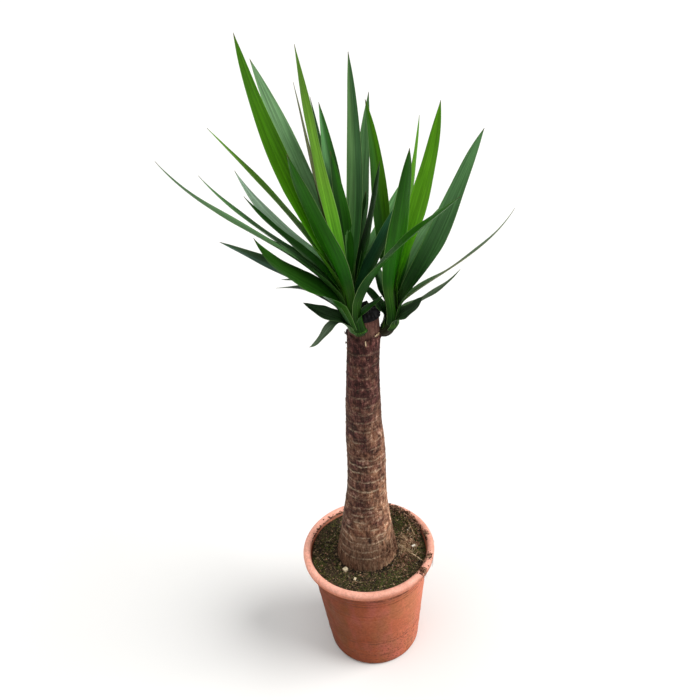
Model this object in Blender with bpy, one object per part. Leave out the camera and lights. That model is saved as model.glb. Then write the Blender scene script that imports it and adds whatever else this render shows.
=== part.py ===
"""A yucca in a round nursery pot: one thick cane with two leafy shoots and a wax seal on its sawn top.

Units are metres, +Z is up. The origin is the centre of the pot's underside, where it stands.
+X is to the right and -Y to the front. Leaf and trunk places are given in centimetres, because
that is how they are measured on the plant, and CM turns them into metres.
"""
import math
import random

import bmesh
import bpy
from mathutils import Matrix, Vector, noise
from mathutils.bvhtree import BVHTree

CM = 0.01
MM = 0.001
GAP = 0.3 * MM                # the air left between two pieces that touch

# Pot
POT_HEIGHT = 0.255
RIM_RADIUS = 0.135            # outside of the rolled rim
RIM_DEPTH = 0.017             # height of the rolled rim
RIM_WIDTH = 0.0145            # how far the rim reaches inwards over the wall
BAND_DEPTH = 0.026            # the thicker band of wall under the rim
BAND_STEP = 0.0012
WALL_TOP_RADIUS = 0.1230
WALL_FOOT_RADIUS = 0.0950
WALL = 0.0030
CORNER = 0.010                # round corner between the wall and the foot ring
FOOT_RING_WIDTH = 0.010
CHANNEL_HEIGHT = 0.005        # the floor between foot ring and centre disc stands this much higher
DISC_RADIUS = 0.034           # flat disc in the middle of the underside
DRAIN_COUNT = 8
DRAIN_RADIUS = 0.006
DRAIN_CIRCLE = 0.060
POT_STEPS = 44

# Soil
SOIL_EDGE_Z = POT_HEIGHT - 0.017
SOIL_MOUND = 0.006            # rise of the soil towards the trunk
SOIL_LUMP = 0.0022
SOIL_BANK = 0.008             # how much higher the soil lies against the back of the rim
SOIL_RINGS = 7
SOIL_STEPS = 40

# Trunk: height, sideways place and radius of the cane, in centimetres
CANE = (
    (25.0, -0.30, 6.10), (26.6, -0.25, 5.80), (29.0, -0.15, 5.40), (32.3, 0.00, 4.95),
    (37.6, 0.25, 4.15), (41.0, 0.55, 3.85), (45.2, 0.80, 3.72), (49.5, 1.00, 3.68),
    (53.8, 1.00, 3.60), (56.8, 1.00, 3.32), (60.6, 1.10, 3.25), (64.5, 1.30, 3.05),
    (69.5, 1.60, 2.95), (73.0, 1.90, 2.92), (75.4, 2.10, 2.98), (78.8, 2.20, 2.78),
)
CANE_FOOT_Z = 0.150           # depth that the cane is planted to
SCAR_PITCH = 0.022            # distance between the rings that old leaves left
SCAR_DEPTH = 0.0009
CANE_STEPS = 20
SMOOTH_ABOVE = 0.738          # the shoots break out of smooth wood above this height

# Wax seal on the sawn top
SEAL_OVERHANG = 0.0006
SEAL_DOME = 0.013
SEAL_PEAK = (2.95, -0.20, 81.7)

# Shoots: places and radii along each green stem, in centimetres
LEFT_STEM = (
    (1.90, -2.10, 76.8, 0.90), (1.20, -2.95, 77.6, 1.30), (0.50, -2.80, 79.4, 1.35),
    (0.00, -2.50, 81.8, 1.20), (-0.30, -2.20, 84.2, 0.90), (-0.40, -2.00, 86.5, 0.45),
)
RIGHT_STEM = (
    (4.40, -0.10, 75.6, 0.85), (5.85, -0.10, 75.6, 1.30), (6.80, 0.00, 76.9, 1.35),
    (7.10, 0.00, 79.0, 1.05), (7.30, 0.10, 81.5, 0.85), (7.40, 0.20, 84.0, 0.40),
)
STEM_STEPS = 12

# Leaves, read from the front. Each row gives the root's height on the stem (cm), the blade's width
# (mm), its roll (degrees), how far behind the cane its tip is (cm), and then three places of its
# midline at a third, two thirds and all of its length, as (x, z) on the upright plane through
# the cane in centimetres. The depth moves them along the line of sight from EYE.
EYE = Vector((0.0, -1.13, 1.385))
LEFT_LEAVES = (
    (83.5, 49, -6, 5.0, (-5.9, 96.9), (-10.4, 110.9), (-13.1, 124.8)),
    (82.5, 46, 0, 13.0, (-3.6, 95.5), (-7.5, 109.0), (-11.3, 121.2)),
    (84.0, 37, 20, 3.0, (-2.2, 97.0), (-3.7, 110.0), (-4.8, 122.7)),
    (81.5, 38, 56, 9.0, (-2.7, 95.0), (-4.2, 106.0), (-5.5, 117.6)),
    (82.0, 32, 55, 12.0, (-1.5, 93.5), (-2.3, 104.5), (-3.3, 115.4)),
    (82.5, 37, 20, 9.0, (-0.7, 93.0), (-1.2, 103.5), (-2.1, 114.5)),
    (83.0, 30, 20, 5.0, (0.2, 91.0), (-0.2, 99.0), (-1.0, 107.2)),
    (84.0, 28, 0, 11.0, (1.8, 95.5), (2.7, 108.5), (2.7, 121.1)),
    (82.0, 38, -25, 17.0, (2.4, 93.5), (3.9, 104.5), (5.3, 115.4)),
    (82.0, 41, 14, 3.0, (-5.2, 92.3), (-11.8, 102.4), (-18.9, 112.1)),
    (80.5, 35, 4, -5.0, (-8.2, 90.1), (-18.6, 98.2), (-27.5, 107.8)),
    (81.0, 34, 14, 2.0, (-7.0, 89.6), (-14.7, 97.0), (-21.4, 105.1)),
    (81.5, 34, 0, 8.0, (-5.4, 89.9), (-11.0, 96.8), (-15.8, 105.4)),
    (80.5, 36, 8, 1.0, (-4.6, 88.3), (-10.0, 94.6), (-15.0, 101.3)),
    (79.5, 47, 0, -1.0, (-6.4, 84.9), (-13.0, 89.7), (-19.9, 94.1)),
    (79.0, 54, -20, -8.0, (-5.0, 83.9), (-10.7, 88.5), (-14.4, 94.3)),
    (79.6, 46, 0, -11.0, (-2.2, 89.6), (-5.1, 98.3), (-7.6, 107.3)),
    (79.0, 40, 14, 5.0, (-4.2, 84.3), (-7.7, 86.2), (-10.8, 86.7)),
    (78.7, 34, 14, 8.0, (-4.3, 82.8), (-8.2, 84.8), (-11.9, 85.2)),
    (78.5, 31, -22, -3.0, (-2.5, 78.8), (-5.1, 80.2), (-7.7, 82.1)),
    (78.2, 21, -14, -5.0, (-2.5, 77.8), (-4.9, 75.5), (-7.5, 73.4)),
    (78.6, 48, 15, -15.0, (5.2, 86.7), (11.7, 93.0), (18.8, 98.5)),
    (78.0, 11, 70, -6.5, (2.0, 79.2), (3.9, 80.8), (5.7, 82.3)),
    (82.5, 31, -20, 3.0, (2.7, 89.0), (4.9, 97.2), (6.4, 105.1)),
    (80.0, 38, 0, 2.5, (3.3, 86.4), (6.8, 93.1), (9.6, 99.6)),
    (80.5, 30, 0, 17.0, (3.5, 88.5), (6.7, 95.3), (9.6, 101.6)),
    (83.5, 20, 0, 6.0, (1.6, 88.5), (2.9, 94.5), (4.0, 100.5)),
    (80.0, 34, 0, 15.0, (-2.6, 85.5), (-4.6, 89.5), (-6.2, 92.5)),
    (80.5, 34, 0, 16.0, (1.0, 86.0), (1.8, 90.0), (2.4, 93.0)),
)
RIGHT_LEAVES = (
    (80.4, 43, 0, 8.0, (10.7, 92.5), (13.8, 103.0), (15.8, 113.4)),
    (78.5, 45, 30, 1.0, (13.4, 88.2), (18.0, 98.5), (22.3, 108.8)),
    (79.2, 43, 0, -5.0, (8.1, 88.3), (9.7, 97.5), (11.0, 106.7)),
    (81.0, 34, -48, 13.0, (9.3, 92.0), (11.3, 101.5), (12.6, 111.5)),
    (79.0, 24, -26, 7.0, (13.8, 84.1), (21.4, 89.1), (27.4, 95.8)),
    (77.8, 24, -10, 2.0, (10.7, 80.0), (15.0, 82.4), (18.8, 86.0)),
    (77.4, 29, 35, -3.0, (8.9, 78.2), (11.1, 79.7), (12.5, 81.4)),
    (79.2, 24, 0, 4.0, (6.2, 82.5), (5.2, 86.0), (4.2, 89.5)),
    (77.8, 27, 0, 3.0, (5.5, 79.7), (4.1, 82.3), (2.2, 84.7)),
    (79.8, 34, 0, 13.0, (10.0, 86.5), (13.1, 92.5), (16.2, 97.5)),
    (79.4, 34, 0, 15.0, (8.6, 87.0), (9.6, 92.0), (10.2, 97.0)),
    (81.4, 30, 0, 11.5, (6.3, 93.0), (5.9, 103.5), (4.7, 114.4)),
)
DEPTH_SHARES = (0.27, 0.62, 1.0)   # how deep the three places are, as shares of the tip's depth
BLADE_THICKNESS = 0.0010
BLADE_ROWS = 7
BLADE_BASE = 0.06             # the narrow neck reaches this far along a blade
BLADE_WIDEST = 0.34           # where along its length a blade is widest
BLADE_NECK = 0.50             # width at the narrow neck, as a share of the widest
BLADE_TIP = 0.0007            # half width of the blunted tip
FOLD_ROOT = 50.0              # degrees that each half is folded up, at the root
FOLD_TIP = 13.0

# Wood chips lying on the soil: place in centimetres, size in millimetres, turn in degrees
CHIPS = (
    ("wood_chip_cube", -5.0, -5.2, (9.0, 8.0, 6.5), 35),
    ("wood_chip_flake", -3.2, -7.6, (7.0, 4.5, 3.0), 70),
    ("wood_chip_splinter", 9.3, 0.0, (8.0, 4.0, 3.0), 30),
)


def clear_scene():
    for old in list(bpy.data.objects):
        bpy.data.objects.remove(old, do_unlink=True)


def material(name, colour, roughness):
    made = bpy.data.materials.new(name)
    made.use_nodes = True
    shader = made.node_tree.nodes["Principled BSDF"]
    shader.inputs["Base Color"].default_value = (*colour, 1.0)
    shader.inputs["Roughness"].default_value = roughness
    shader.inputs["Metallic"].default_value = 0.0
    return made


def add_object(name, mesh_data, finish=None):
    mesh = bpy.data.meshes.new(name)
    mesh_data.to_mesh(mesh)
    mesh_data.free()
    made = bpy.data.objects.new(name, mesh)
    bpy.context.scene.collection.objects.link(made)
    if finish:
        mesh.materials.append(finish)
    return made


def apply_modifiers(target):
    graph = bpy.context.evaluated_depsgraph_get()
    baked = bpy.data.meshes.new_from_object(target.evaluated_get(graph))
    target.modifiers.clear()
    target.data = baked


def largest_shell(target):
    """Keeps the one outer skin: a sealed hollow is filled and a loose scrap is dropped."""
    shape = bmesh.new()
    shape.from_mesh(target.data)
    left = set(shape.verts)
    shells = []
    while left:
        stack = [left.pop()]
        shell = set(stack)
        while stack:
            for edge in stack.pop().link_edges:
                for vert in edge.verts:
                    if vert in left:
                        left.discard(vert)
                        shell.add(vert)
                        stack.append(vert)
        shells.append(shell)
    shells.sort(key=len, reverse=True)
    for shell in shells[1:]:
        bmesh.ops.delete(shape, geom=list(shell), context="VERTS")
    shape.to_mesh(target.data)
    shape.free()


def combine(target, pieces, operation):
    """One Boolean of the target with a collection of pieces, applied, and the pieces removed."""
    group = bpy.data.collections.new(target.name + "_pieces")
    for piece in pieces:
        group.objects.link(piece)
    boolean = target.modifiers.new("combine", "BOOLEAN")
    boolean.operation = operation
    boolean.operand_type = "COLLECTION"
    boolean.collection = group
    apply_modifiers(target)
    for piece in pieces:
        bpy.data.objects.remove(piece, do_unlink=True)
    bpy.data.collections.remove(group)


def smooth_shade(target, sharp_degrees=40):
    target.data.shade_smooth()
    target.data.set_sharp_from_angle(angle=math.radians(sharp_degrees))


def turned(profile, steps):
    """A body of revolution about Z from a closed profile of (radius, height) points."""
    shape = bmesh.new()
    verts = [shape.verts.new((radius, 0.0, height)) for radius, height in profile]
    edges = [shape.edges.new(pair) for pair in zip(verts, verts[1:] + verts[:1])]
    on_axis = [edge for edge in edges if all(abs(v.co.x) < 1e-9 for v in edge.verts)]
    for edge in on_axis:
        shape.edges.remove(edge)
    bmesh.ops.spin(shape, geom=shape.verts[:] + shape.edges[:], cent=(0, 0, 0), axis=(0, 0, 1),
                   angle=math.tau, steps=steps, use_merge=True)
    bmesh.ops.remove_doubles(shape, verts=shape.verts, dist=1e-6)
    bmesh.ops.recalc_face_normals(shape, faces=shape.faces)
    return shape


def arc(centre, radius, start, end, count):
    """Points of a circular arc in the profile plane, with angles in degrees."""
    angles = [math.radians(start + (end - start) * i / count) for i in range(count + 1)]
    return [(centre[0] + radius * math.cos(a), centre[1] + radius * math.sin(a)) for a in angles]


def wall_radius(height):
    """Outer radius of the pot's plain wall at a height."""
    return WALL_FOOT_RADIUS + (WALL_TOP_RADIUS - WALL_FOOT_RADIUS) * height / POT_HEIGHT


def pot_profile():
    rim_low = POT_HEIGHT - RIM_DEPTH
    band_low = rim_low - BAND_DEPTH
    bead = RIM_WIDTH / 2
    bead_centre = (RIM_RADIUS - bead, POT_HEIGHT - bead)
    floor = CHANNEL_HEIGHT + WALL
    ring_outer = WALL_FOOT_RADIUS - CORNER * 0.45
    ring_inner = ring_outer - FOOT_RING_WIDTH
    outside = [
        (0.0, 0.0),
        (DISC_RADIUS, 0.0),
        (DISC_RADIUS + CHANNEL_HEIGHT, CHANNEL_HEIGHT),
        (ring_inner - CHANNEL_HEIGHT, CHANNEL_HEIGHT),
        (ring_inner, 0.0),
        (ring_outer, 0.0),
        (ring_outer + CORNER * 0.30, CORNER * 0.18),
        (wall_radius(CORNER), CORNER),
        (wall_radius(band_low), band_low),
        (wall_radius(band_low) + BAND_STEP, band_low + BAND_STEP),
        (wall_radius(rim_low) + BAND_STEP, rim_low + 0.001),
        (RIM_RADIUS - 0.003, rim_low),
        (RIM_RADIUS - 0.0006, rim_low + 0.0025),
    ]
    top = arc(bead_centre, bead, 0, 180, 6)
    inner_top = wall_radius(rim_low) - WALL
    inside = [
        (top[-1][0], rim_low + 0.001),
        (inner_top, rim_low - 0.004),
        (wall_radius(floor + CORNER) - WALL, floor + CORNER),
        (wall_radius(floor) - WALL - CORNER * 0.6, floor),
        (0.0, floor),
    ]
    return outside + top + inside


def inner_wall_radius(height):
    """Inner radius of the pot, read from the same points as its profile."""
    rim_low = POT_HEIGHT - RIM_DEPTH
    low = CHANNEL_HEIGHT + WALL + CORNER
    low_radius = wall_radius(low) - WALL
    high = rim_low - 0.004
    high_radius = wall_radius(rim_low) - WALL
    share = min(max((height - low) / (high - low), 0.0), 1.0)
    return low_radius + (high_radius - low_radius) * share


def make_pot(finish):
    pot = add_object("pot", turned(pot_profile(), POT_STEPS), finish)
    drills = []
    for i in range(DRAIN_COUNT):
        angle = math.tau * (i + 0.5) / DRAIN_COUNT
        drill = bmesh.new()
        bmesh.ops.create_cone(drill, cap_ends=True, segments=12, radius1=DRAIN_RADIUS,
                              radius2=DRAIN_RADIUS, depth=0.04)
        place = (DRAIN_CIRCLE * math.cos(angle), DRAIN_CIRCLE * math.sin(angle), CHANNEL_HEIGHT)
        bmesh.ops.translate(drill, verts=drill.verts, vec=place)
        drills.append(add_object("drill", drill))
    combine(pot, drills, "DIFFERENCE")
    smooth_shade(pot)
    return pot


def soil_height(x, y):
    """Height of the soil's surface: lumps on a low mound round the trunk, banked up at the back."""
    radius = math.hypot(x, y)
    outward = min(max((radius - 0.085) / 0.025, 0.0), 1.0)
    back = min(max(y / 0.06, 0.0), 1.0) * (0.8 + 0.2 * min(max(x / 0.05, -1.0), 1.0))
    mound = SOIL_MOUND * max(0.0, 1.0 - radius / inner_wall_radius(SOIL_EDGE_Z))
    lump = noise.noise(Vector((x, y, 0.0)) * 38.0) + 0.5 * noise.noise(Vector((x, y, 1.0)) * 85.0)
    return SOIL_EDGE_Z + mound + SOIL_BANK * outward * back + SOIL_LUMP * lump


def make_soil(finish):
    """The soil fills the pot and has a plain round hole that the cane stands in."""
    low = CHANNEL_HEIGHT + WALL + GAP
    hole = CANE[0][2] * CM + GAP
    centre = CANE[0][1] * CM
    corner_radius = wall_radius(low) - WALL - CORNER * 0.6 - GAP
    wall = [(inner_wall_radius(z) - GAP * 1.5, z) for z in (low + CORNER, SOIL_EDGE_Z)]
    outer_top = wall[-1][0]
    top = [(hole + (outer_top - hole) * (1 - i / SOIL_RINGS), SOIL_EDGE_Z)
           for i in range(1, SOIL_RINGS + 1)]
    hole_floor = CANE_FOOT_Z - GAP
    profile = [(0.0, low), (corner_radius, low)] + wall + top
    profile += [(hole, hole_floor), (0.0, hole_floor)]
    shape = turned(profile, SOIL_STEPS)
    for vert in shape.verts:
        radius = math.hypot(vert.co.x, vert.co.y)
        inward = min(max((outer_top - radius) / (outer_top - hole), 0.0), 1.0)
        if vert.co.z > hole_floor - GAP and radius < outer_top:
            vert.co.x += centre * inward
        if vert.co.z > SOIL_EDGE_Z - GAP:
            vert.co.z = soil_height(vert.co.x, vert.co.y)
    soil = add_object("soil", shape, finish)
    smooth_shade(soil, 50)
    return soil


def cane_at(height):
    """Sideways place and radius of the cane at a height, in metres, smooth between stations."""
    stations = [(z * CM, x * CM, r * CM) for z, x, r in CANE]
    if height <= stations[0][0]:
        return stations[0][1], stations[0][2]
    for low, high in zip(stations, stations[1:]):
        if height <= high[0]:
            share = (height - low[0]) / (high[0] - low[0])
            return tuple(low[i] + (high[i] - low[i]) * share for i in (1, 2))
    return stations[-1][1], stations[-1][2]


def loft(rings):
    """A closed body through rings of equal vertex count, each given as a list of points."""
    shape = bmesh.new()
    first = [shape.verts.new(point) for point in rings[0]]
    face = shape.faces.new(first)
    for ring in rings[1:]:
        grown = bmesh.ops.extrude_discrete_faces(shape, faces=[face])
        face = grown["faces"][0]
        for vert, point in zip(face.verts, ring):
            vert.co = point
    bmesh.ops.holes_fill(shape, edges=[e for e in shape.edges if e.is_boundary])
    bmesh.ops.recalc_face_normals(shape, faces=shape.faces)
    return shape


def cane_rings(clearance=0.0, low=CANE_FOOT_Z, scars=True):
    """Rings of the cane from a low height to its sawn top, every second one sunk as a leaf scar."""
    top = CANE[-1][0] * CM
    start = max(low, CANE[0][0] * CM)
    heights = [low, start] if low < start else [low]
    count = int((top - start) / (SCAR_PITCH / 2))
    heights += [start + (top - start) * i / count for i in range(1, count + 1)]
    rings = []
    for number, height in enumerate(heights):
        centre, radius = cane_at(height)
        if scars and number % 2 and start < height < SMOOTH_ABOVE:
            radius -= SCAR_DEPTH
        radius += clearance
        rings.append([(centre + radius * math.cos(math.tau * i / CANE_STEPS),
                       radius * math.sin(math.tau * i / CANE_STEPS), height)
                      for i in range(CANE_STEPS)])
    return rings


def make_trunk(finish):
    trunk = add_object("trunk", loft(cane_rings()), finish)
    smooth_shade(trunk)
    return trunk


def make_seal(finish):
    """A cap of wax with a drawn-out peak where the dripping wax set."""
    top = CANE[-1][0] * CM
    centre, radius = cane_at(top)
    radius += SEAL_OVERHANG
    base = top + GAP
    levels = [(radius * 0.985, 0.0), (radius, 0.0015), (radius * 0.97, 0.0045)]
    levels += [(radius * math.cos(math.radians(a)), 0.0045 + (SEAL_DOME - 0.0045) * math.sin(math.radians(a)))
               for a in (35, 60)]
    peak = Vector(SEAL_PEAK) * CM
    rings = []
    for size, rise in levels:
        rings.append([(centre + size * math.cos(math.tau * i / CANE_STEPS),
                       size * math.sin(math.tau * i / CANE_STEPS), base + rise)
                      for i in range(CANE_STEPS)])
    for share, size in ((0.25, 0.0075), (0.65, 0.0035), (1.0, 0.0012)):
        start = Vector((centre, 0.0, base + SEAL_DOME))
        middle = start.lerp(peak, share)
        rings.append([(middle.x + size * math.cos(math.tau * i / CANE_STEPS),
                       middle.y + size * math.sin(math.tau * i / CANE_STEPS), middle.z)
                      for i in range(CANE_STEPS)])
    seal = add_object("wax_seal", loft(rings), finish)
    smooth_shade(seal)
    return seal


def stem_rings(stations):
    """Rings square to a bent stem, with a rounded lower end and top."""
    points = [Vector(s[:3]) * CM for s in stations]
    radii = [s[3] * CM for s in stations]
    rings = []
    for number, (point, radius) in enumerate(zip(points, radii)):
        before = points[max(number - 1, 0)]
        after = points[min(number + 1, len(points) - 1)]
        along = (after - before).normalized()
        across = along.cross(Vector((0, 1, 0))).normalized()
        other = along.cross(across)
        rings.append([point + radius * (across * math.cos(math.tau * i / STEM_STEPS)
                                        + other * math.sin(math.tau * i / STEM_STEPS))
                      for i in range(STEM_STEPS)])
    return rings


def stem_point(stations, height):
    """The point of a stem's axis at a height given in centimetres."""
    points = [Vector(s[:3]) for s in stations]
    for low, high in zip(points, points[1:]):
        if height <= high.z:
            share = (height - low.z) / (high.z - low.z)
            return low.lerp(high, max(share, 0.0)) * CM
    return points[-1] * CM


def sighted(place, depth):
    """The point seen at a place of the plane through the cane when it is that deep behind it."""
    flat = Vector((place[0], 0.0, place[1])) * CM
    return EYE + (flat - EYE) * (1.0 - depth / EYE.y)


def blade_places(stations, leaf):
    """Root, a third, two thirds and tip of a leaf's midline."""
    root = stem_point(stations, leaf[0])
    behind = leaf[3] * CM - root.y
    return [root] + [sighted(place, root.y + behind * share)
                     for place, share in zip(leaf[4:], DEPTH_SHARES)]


def midline(places, t):
    """Point of the smooth curve through four places evenly spaced along it."""
    point = Vector()
    for i, place in enumerate(places):
        weight = 1.0
        for j in range(4):
            if j != i:
                weight *= (3.0 * t - j) / (i - j)
        point += place * weight
    return point


def blade_share(t):
    """Width of a blade at the share t of its length, as a share of its widest."""
    if t < BLADE_WIDEST:
        s = max(t - BLADE_BASE, 0.0) / (BLADE_WIDEST - BLADE_BASE)
        return BLADE_NECK + (1 - BLADE_NECK) * math.sin(math.pi / 2 * s)
    s = (t - BLADE_WIDEST) / (1 - BLADE_WIDEST)
    return 1 - s ** 2.3


def blade_frame(stations, leaf, t):
    """Point, sideways direction, upper face's direction and half width at the share t."""
    places = blade_places(stations, leaf)
    point = midline(places, t)
    along = (midline(places, t + 0.01) - midline(places, t - 0.01)).normalized()
    reach = places[3] - places[0]
    side = Vector((0, 0, 1)).cross(Vector((reach.x, reach.y, 0.0)).normalized())
    across = (side - along * side.dot(along)).normalized()
    roll = math.radians(leaf[2]) * min(1.0, 0.25 + t * 1.8)
    across = Matrix.Rotation(roll, 3, along) @ across
    face = along.cross(across)
    return point, across, face, max(leaf[1] * MM / 2 * blade_share(t), BLADE_TIP)


def make_blade(stations, leaf):
    """One leaf: a flat strip bent along its midline, folded up along its rib and given a thickness."""
    strip = bmesh.new()
    bmesh.ops.create_grid(strip, x_segments=2, y_segments=BLADE_ROWS, size=1.0)
    for vert in strip.verts:
        t = (vert.co.y + 1) / 2
        t = t ** 0.9 if t > 0 else 0.0
        point, across, face, half = blade_frame(stations, leaf, t)
        fold = math.radians(FOLD_ROOT + (FOLD_TIP - FOLD_ROOT) * min(1.0, t * 2.2))
        out = vert.co.x * half
        vert.co = point + across * out * math.cos(fold) + face * abs(out) * math.sin(fold)
    bmesh.ops.triangulate(strip, faces=strip.faces, quad_method="FIXED")
    bmesh.ops.recalc_face_normals(strip, faces=strip.faces)
    bmesh.ops.solidify(strip, geom=strip.faces[:], thickness=BLADE_THICKNESS)
    bmesh.ops.recalc_face_normals(strip, faces=strip.faces)
    return add_object("blade", strip)


def make_crown(name, stations, leaves, finish):
    """A green stem with all its leaves grown together as one body, clear of the cane."""
    crown = add_object(name, loft(stem_rings(stations)), finish)
    combine(crown, [make_blade(stations, leaf) for leaf in leaves], "UNION")
    largest_shell(crown)
    rings = cane_rings(SEAL_OVERHANG + GAP, low=0.70, scars=False)
    rings.append([(x, y, z + 0.025) for x, y, z in rings[-1]])
    clearance = add_object("clearance", loft(rings))
    combine(crown, [clearance], "DIFFERENCE")
    largest_shell(crown)
    smooth_shade(crown, 30)
    return crown


def make_chip(name, x, y, size, turn, ground, finish):
    """A chip of pale wood with bevelled, uneven corners, lying on the soil."""
    draw = random.Random(name)
    shape = bmesh.new()
    bmesh.ops.create_cube(shape, size=1.0)
    for vert in shape.verts:
        vert.co = Vector([c * s * MM * draw.uniform(0.82, 1.0) for c, s in zip(vert.co, size)])
    bmesh.ops.rotate(shape, verts=shape.verts, matrix=Matrix.Rotation(math.radians(turn), 3, "Z"))
    bmesh.ops.translate(shape, verts=shape.verts, vec=(x * CM, y * CM, 0.0))
    drops = []
    for vert in shape.verts:
        hit = ground.ray_cast(vert.co + Vector((0, 0, 1)), Vector((0, 0, -1)))[0]
        drops.append(vert.co.z - hit.z)
    bmesh.ops.translate(shape, verts=shape.verts, vec=(0, 0, GAP - min(drops)))
    return add_object(name, shape, finish)


def main():
    clear_scene()
    terracotta = material("terracotta_plastic", (0.62, 0.23, 0.12), 0.6)
    soil = material("soil", (0.035, 0.028, 0.016), 0.95)
    bark = material("bark", (0.16, 0.085, 0.06), 0.85)
    wax = material("black_wax", (0.012, 0.011, 0.012), 0.4)
    leaf = material("leaf", (0.045, 0.13, 0.02), 0.38)
    pale_wood = material("pale_wood", (0.62, 0.52, 0.35), 0.8)
    make_pot(terracotta)
    filled = make_soil(soil)
    make_trunk(bark)
    make_seal(wax)
    make_crown("crown_left", LEFT_STEM, LEFT_LEAVES, leaf)
    make_crown("crown_right", RIGHT_STEM, RIGHT_LEAVES, leaf)
    ground = BVHTree.FromPolygons([v.co for v in filled.data.vertices],
                                  [face.vertices for face in filled.data.polygons])
    for name, x, y, size, turn in CHIPS:
        make_chip(name, x, y, size, turn, ground, pale_wood)


main()
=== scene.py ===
# %% [markdown]
# # A potted yucca, built in cells
# The real object is a bare, thick cane that was sawn off and sealed with wax. Two leafy shoots have
# broken out of its side just below the cut, and it stands in dark soil in a round plastic pot.
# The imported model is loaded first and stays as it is. Finer pieces then take the place of its
# parts, in the same metres and in the same frame, so nothing has to be fitted afterwards.

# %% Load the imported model
import math
import random
from collections import namedtuple

import bmesh
import bpy
from mathutils import Matrix, Vector, noise
from mathutils.bvhtree import BVHTree


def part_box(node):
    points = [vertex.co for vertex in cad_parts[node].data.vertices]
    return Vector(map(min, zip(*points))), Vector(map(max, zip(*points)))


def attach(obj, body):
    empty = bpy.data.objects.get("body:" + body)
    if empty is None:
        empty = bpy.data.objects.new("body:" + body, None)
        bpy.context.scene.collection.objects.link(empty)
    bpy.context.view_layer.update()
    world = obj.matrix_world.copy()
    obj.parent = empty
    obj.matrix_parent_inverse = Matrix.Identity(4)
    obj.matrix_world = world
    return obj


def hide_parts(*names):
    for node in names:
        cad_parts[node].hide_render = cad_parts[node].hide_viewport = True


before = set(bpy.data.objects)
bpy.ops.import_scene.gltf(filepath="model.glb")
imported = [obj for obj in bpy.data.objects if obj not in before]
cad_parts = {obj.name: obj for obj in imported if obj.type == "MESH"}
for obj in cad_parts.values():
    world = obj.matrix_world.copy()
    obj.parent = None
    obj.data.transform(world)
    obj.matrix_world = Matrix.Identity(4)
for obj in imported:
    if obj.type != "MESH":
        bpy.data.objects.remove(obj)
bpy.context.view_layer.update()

BODY = "root"                 # the row has no joints, so everything rides on one body
CM = 0.01
MM = 0.001
print("packed parts:", sorted(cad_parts))

# %% [markdown]
# ## Camera
# The photograph was taken from standing height, looking down by about thirty degrees, with the
# camera held slightly askew. Its place, its angle and its lens were found by laying a measuring
# grid over the pot and the cane, so it is given as a place and three plain turns.

# %% Camera
EYE = Vector((0.0, -1.13, 1.385))
LOOK_DOWN = 30.4              # degrees, like the two turns below
TURN = 0.25
ROLL = -4.7
LENS = 38.57                  # millimetres, as is the width of the sensor
SENSOR_WIDTH = 36.0

camera_data = bpy.data.cameras.new("photo_camera")
camera_data.lens = LENS
camera_data.sensor_width = SENSOR_WIDTH
camera = bpy.data.objects.new("photo_camera", camera_data)
camera.matrix_world = (Matrix.Translation(EYE)
                       @ Matrix.Rotation(math.radians(TURN), 4, "Z")
                       @ Matrix.Rotation(math.radians(90.0 - LOOK_DOWN), 4, "X")
                       @ Matrix.Rotation(math.radians(ROLL), 4, "Z"))
bpy.context.scene.collection.objects.link(camera)
bpy.context.scene.camera = camera
print("camera at", tuple(round(c, 3) for c in EYE))

# %% [markdown]
# ## Materials as wired nodes
# Every finish below is a Principled shader whose colour, roughness and bump come from small
# groups of nodes. These helpers keep that wiring short: one adds a node and connects or sets its
# inputs, the others make the usual steps such as a noise, a ramp between colours and a bump.

# %% Helpers for finishes
def add_node(tree, kind, inputs=None, **settings):
    made = tree.nodes.new("ShaderNode" + kind)
    for key, value in settings.items():
        setattr(made, key, value)
    for key, value in (inputs or {}).items():
        if isinstance(value, bpy.types.NodeSocket):
            tree.links.new(value, made.inputs[key])
        else:
            made.inputs[key].default_value = value
    return made


def new_finish(name, roughness):
    made = bpy.data.materials.new(name)
    made.use_nodes = True
    shader = made.node_tree.nodes["Principled BSDF"]
    shader.inputs["Roughness"].default_value = roughness
    return made, made.node_tree, shader


def object_place(tree, stretch=(1.0, 1.0, 1.0)):
    place = add_node(tree, "TexCoord").outputs["Object"]
    return add_node(tree, "Mapping", {"Vector": place, "Scale": stretch}).outputs[0]


def cloud(tree, place, scale, detail=4.0, rough=0.5):
    made = add_node(tree, "TexNoise", {"Vector": place, "Scale": scale, "Detail": detail,
                                       "Roughness": rough})
    return made.outputs["Fac"]


def ramp(tree, factor, stops):
    made = add_node(tree, "ValToRGB", {"Fac": factor})
    elements = made.color_ramp.elements
    while len(elements) < len(stops):
        elements.new(0.5)
    for element, (place, colour) in zip(elements, stops):
        element.position = place
        element.color = (*colour, 1.0)
    return made.outputs["Color"]


def spread(tree, value, low, high, to_low=0.0, to_high=1.0):
    made = add_node(tree, "MapRange", {"Value": value, "From Min": low, "From Max": high,
                                       "To Min": to_low, "To Max": to_high})
    return made.outputs[0]


def blend(tree, factor, first, second, how="MIX"):
    made = add_node(tree, "Mix", data_type="RGBA", blend_type=how)
    for index, value in ((0, factor), (6, first), (7, second)):
        if isinstance(value, bpy.types.NodeSocket):
            tree.links.new(value, made.inputs[index])
        elif index == 0:
            made.inputs[0].default_value = value
        else:
            made.inputs[index].default_value = (*value, 1.0)
    return made.outputs[2]


def product(tree, first, second):
    return add_node(tree, "Math", {0: first, 1: second}, operation="MULTIPLY").outputs[0]


def shaded(tree, colour, factor):
    """A colour made lighter or darker by a plain factor."""
    grey = add_node(tree, "CombineXYZ", {0: factor, 1: factor, 2: factor}).outputs[0]
    return add_node(tree, "VectorMath", {0: colour, 1: grey}, operation="MULTIPLY").outputs[0]


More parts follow.
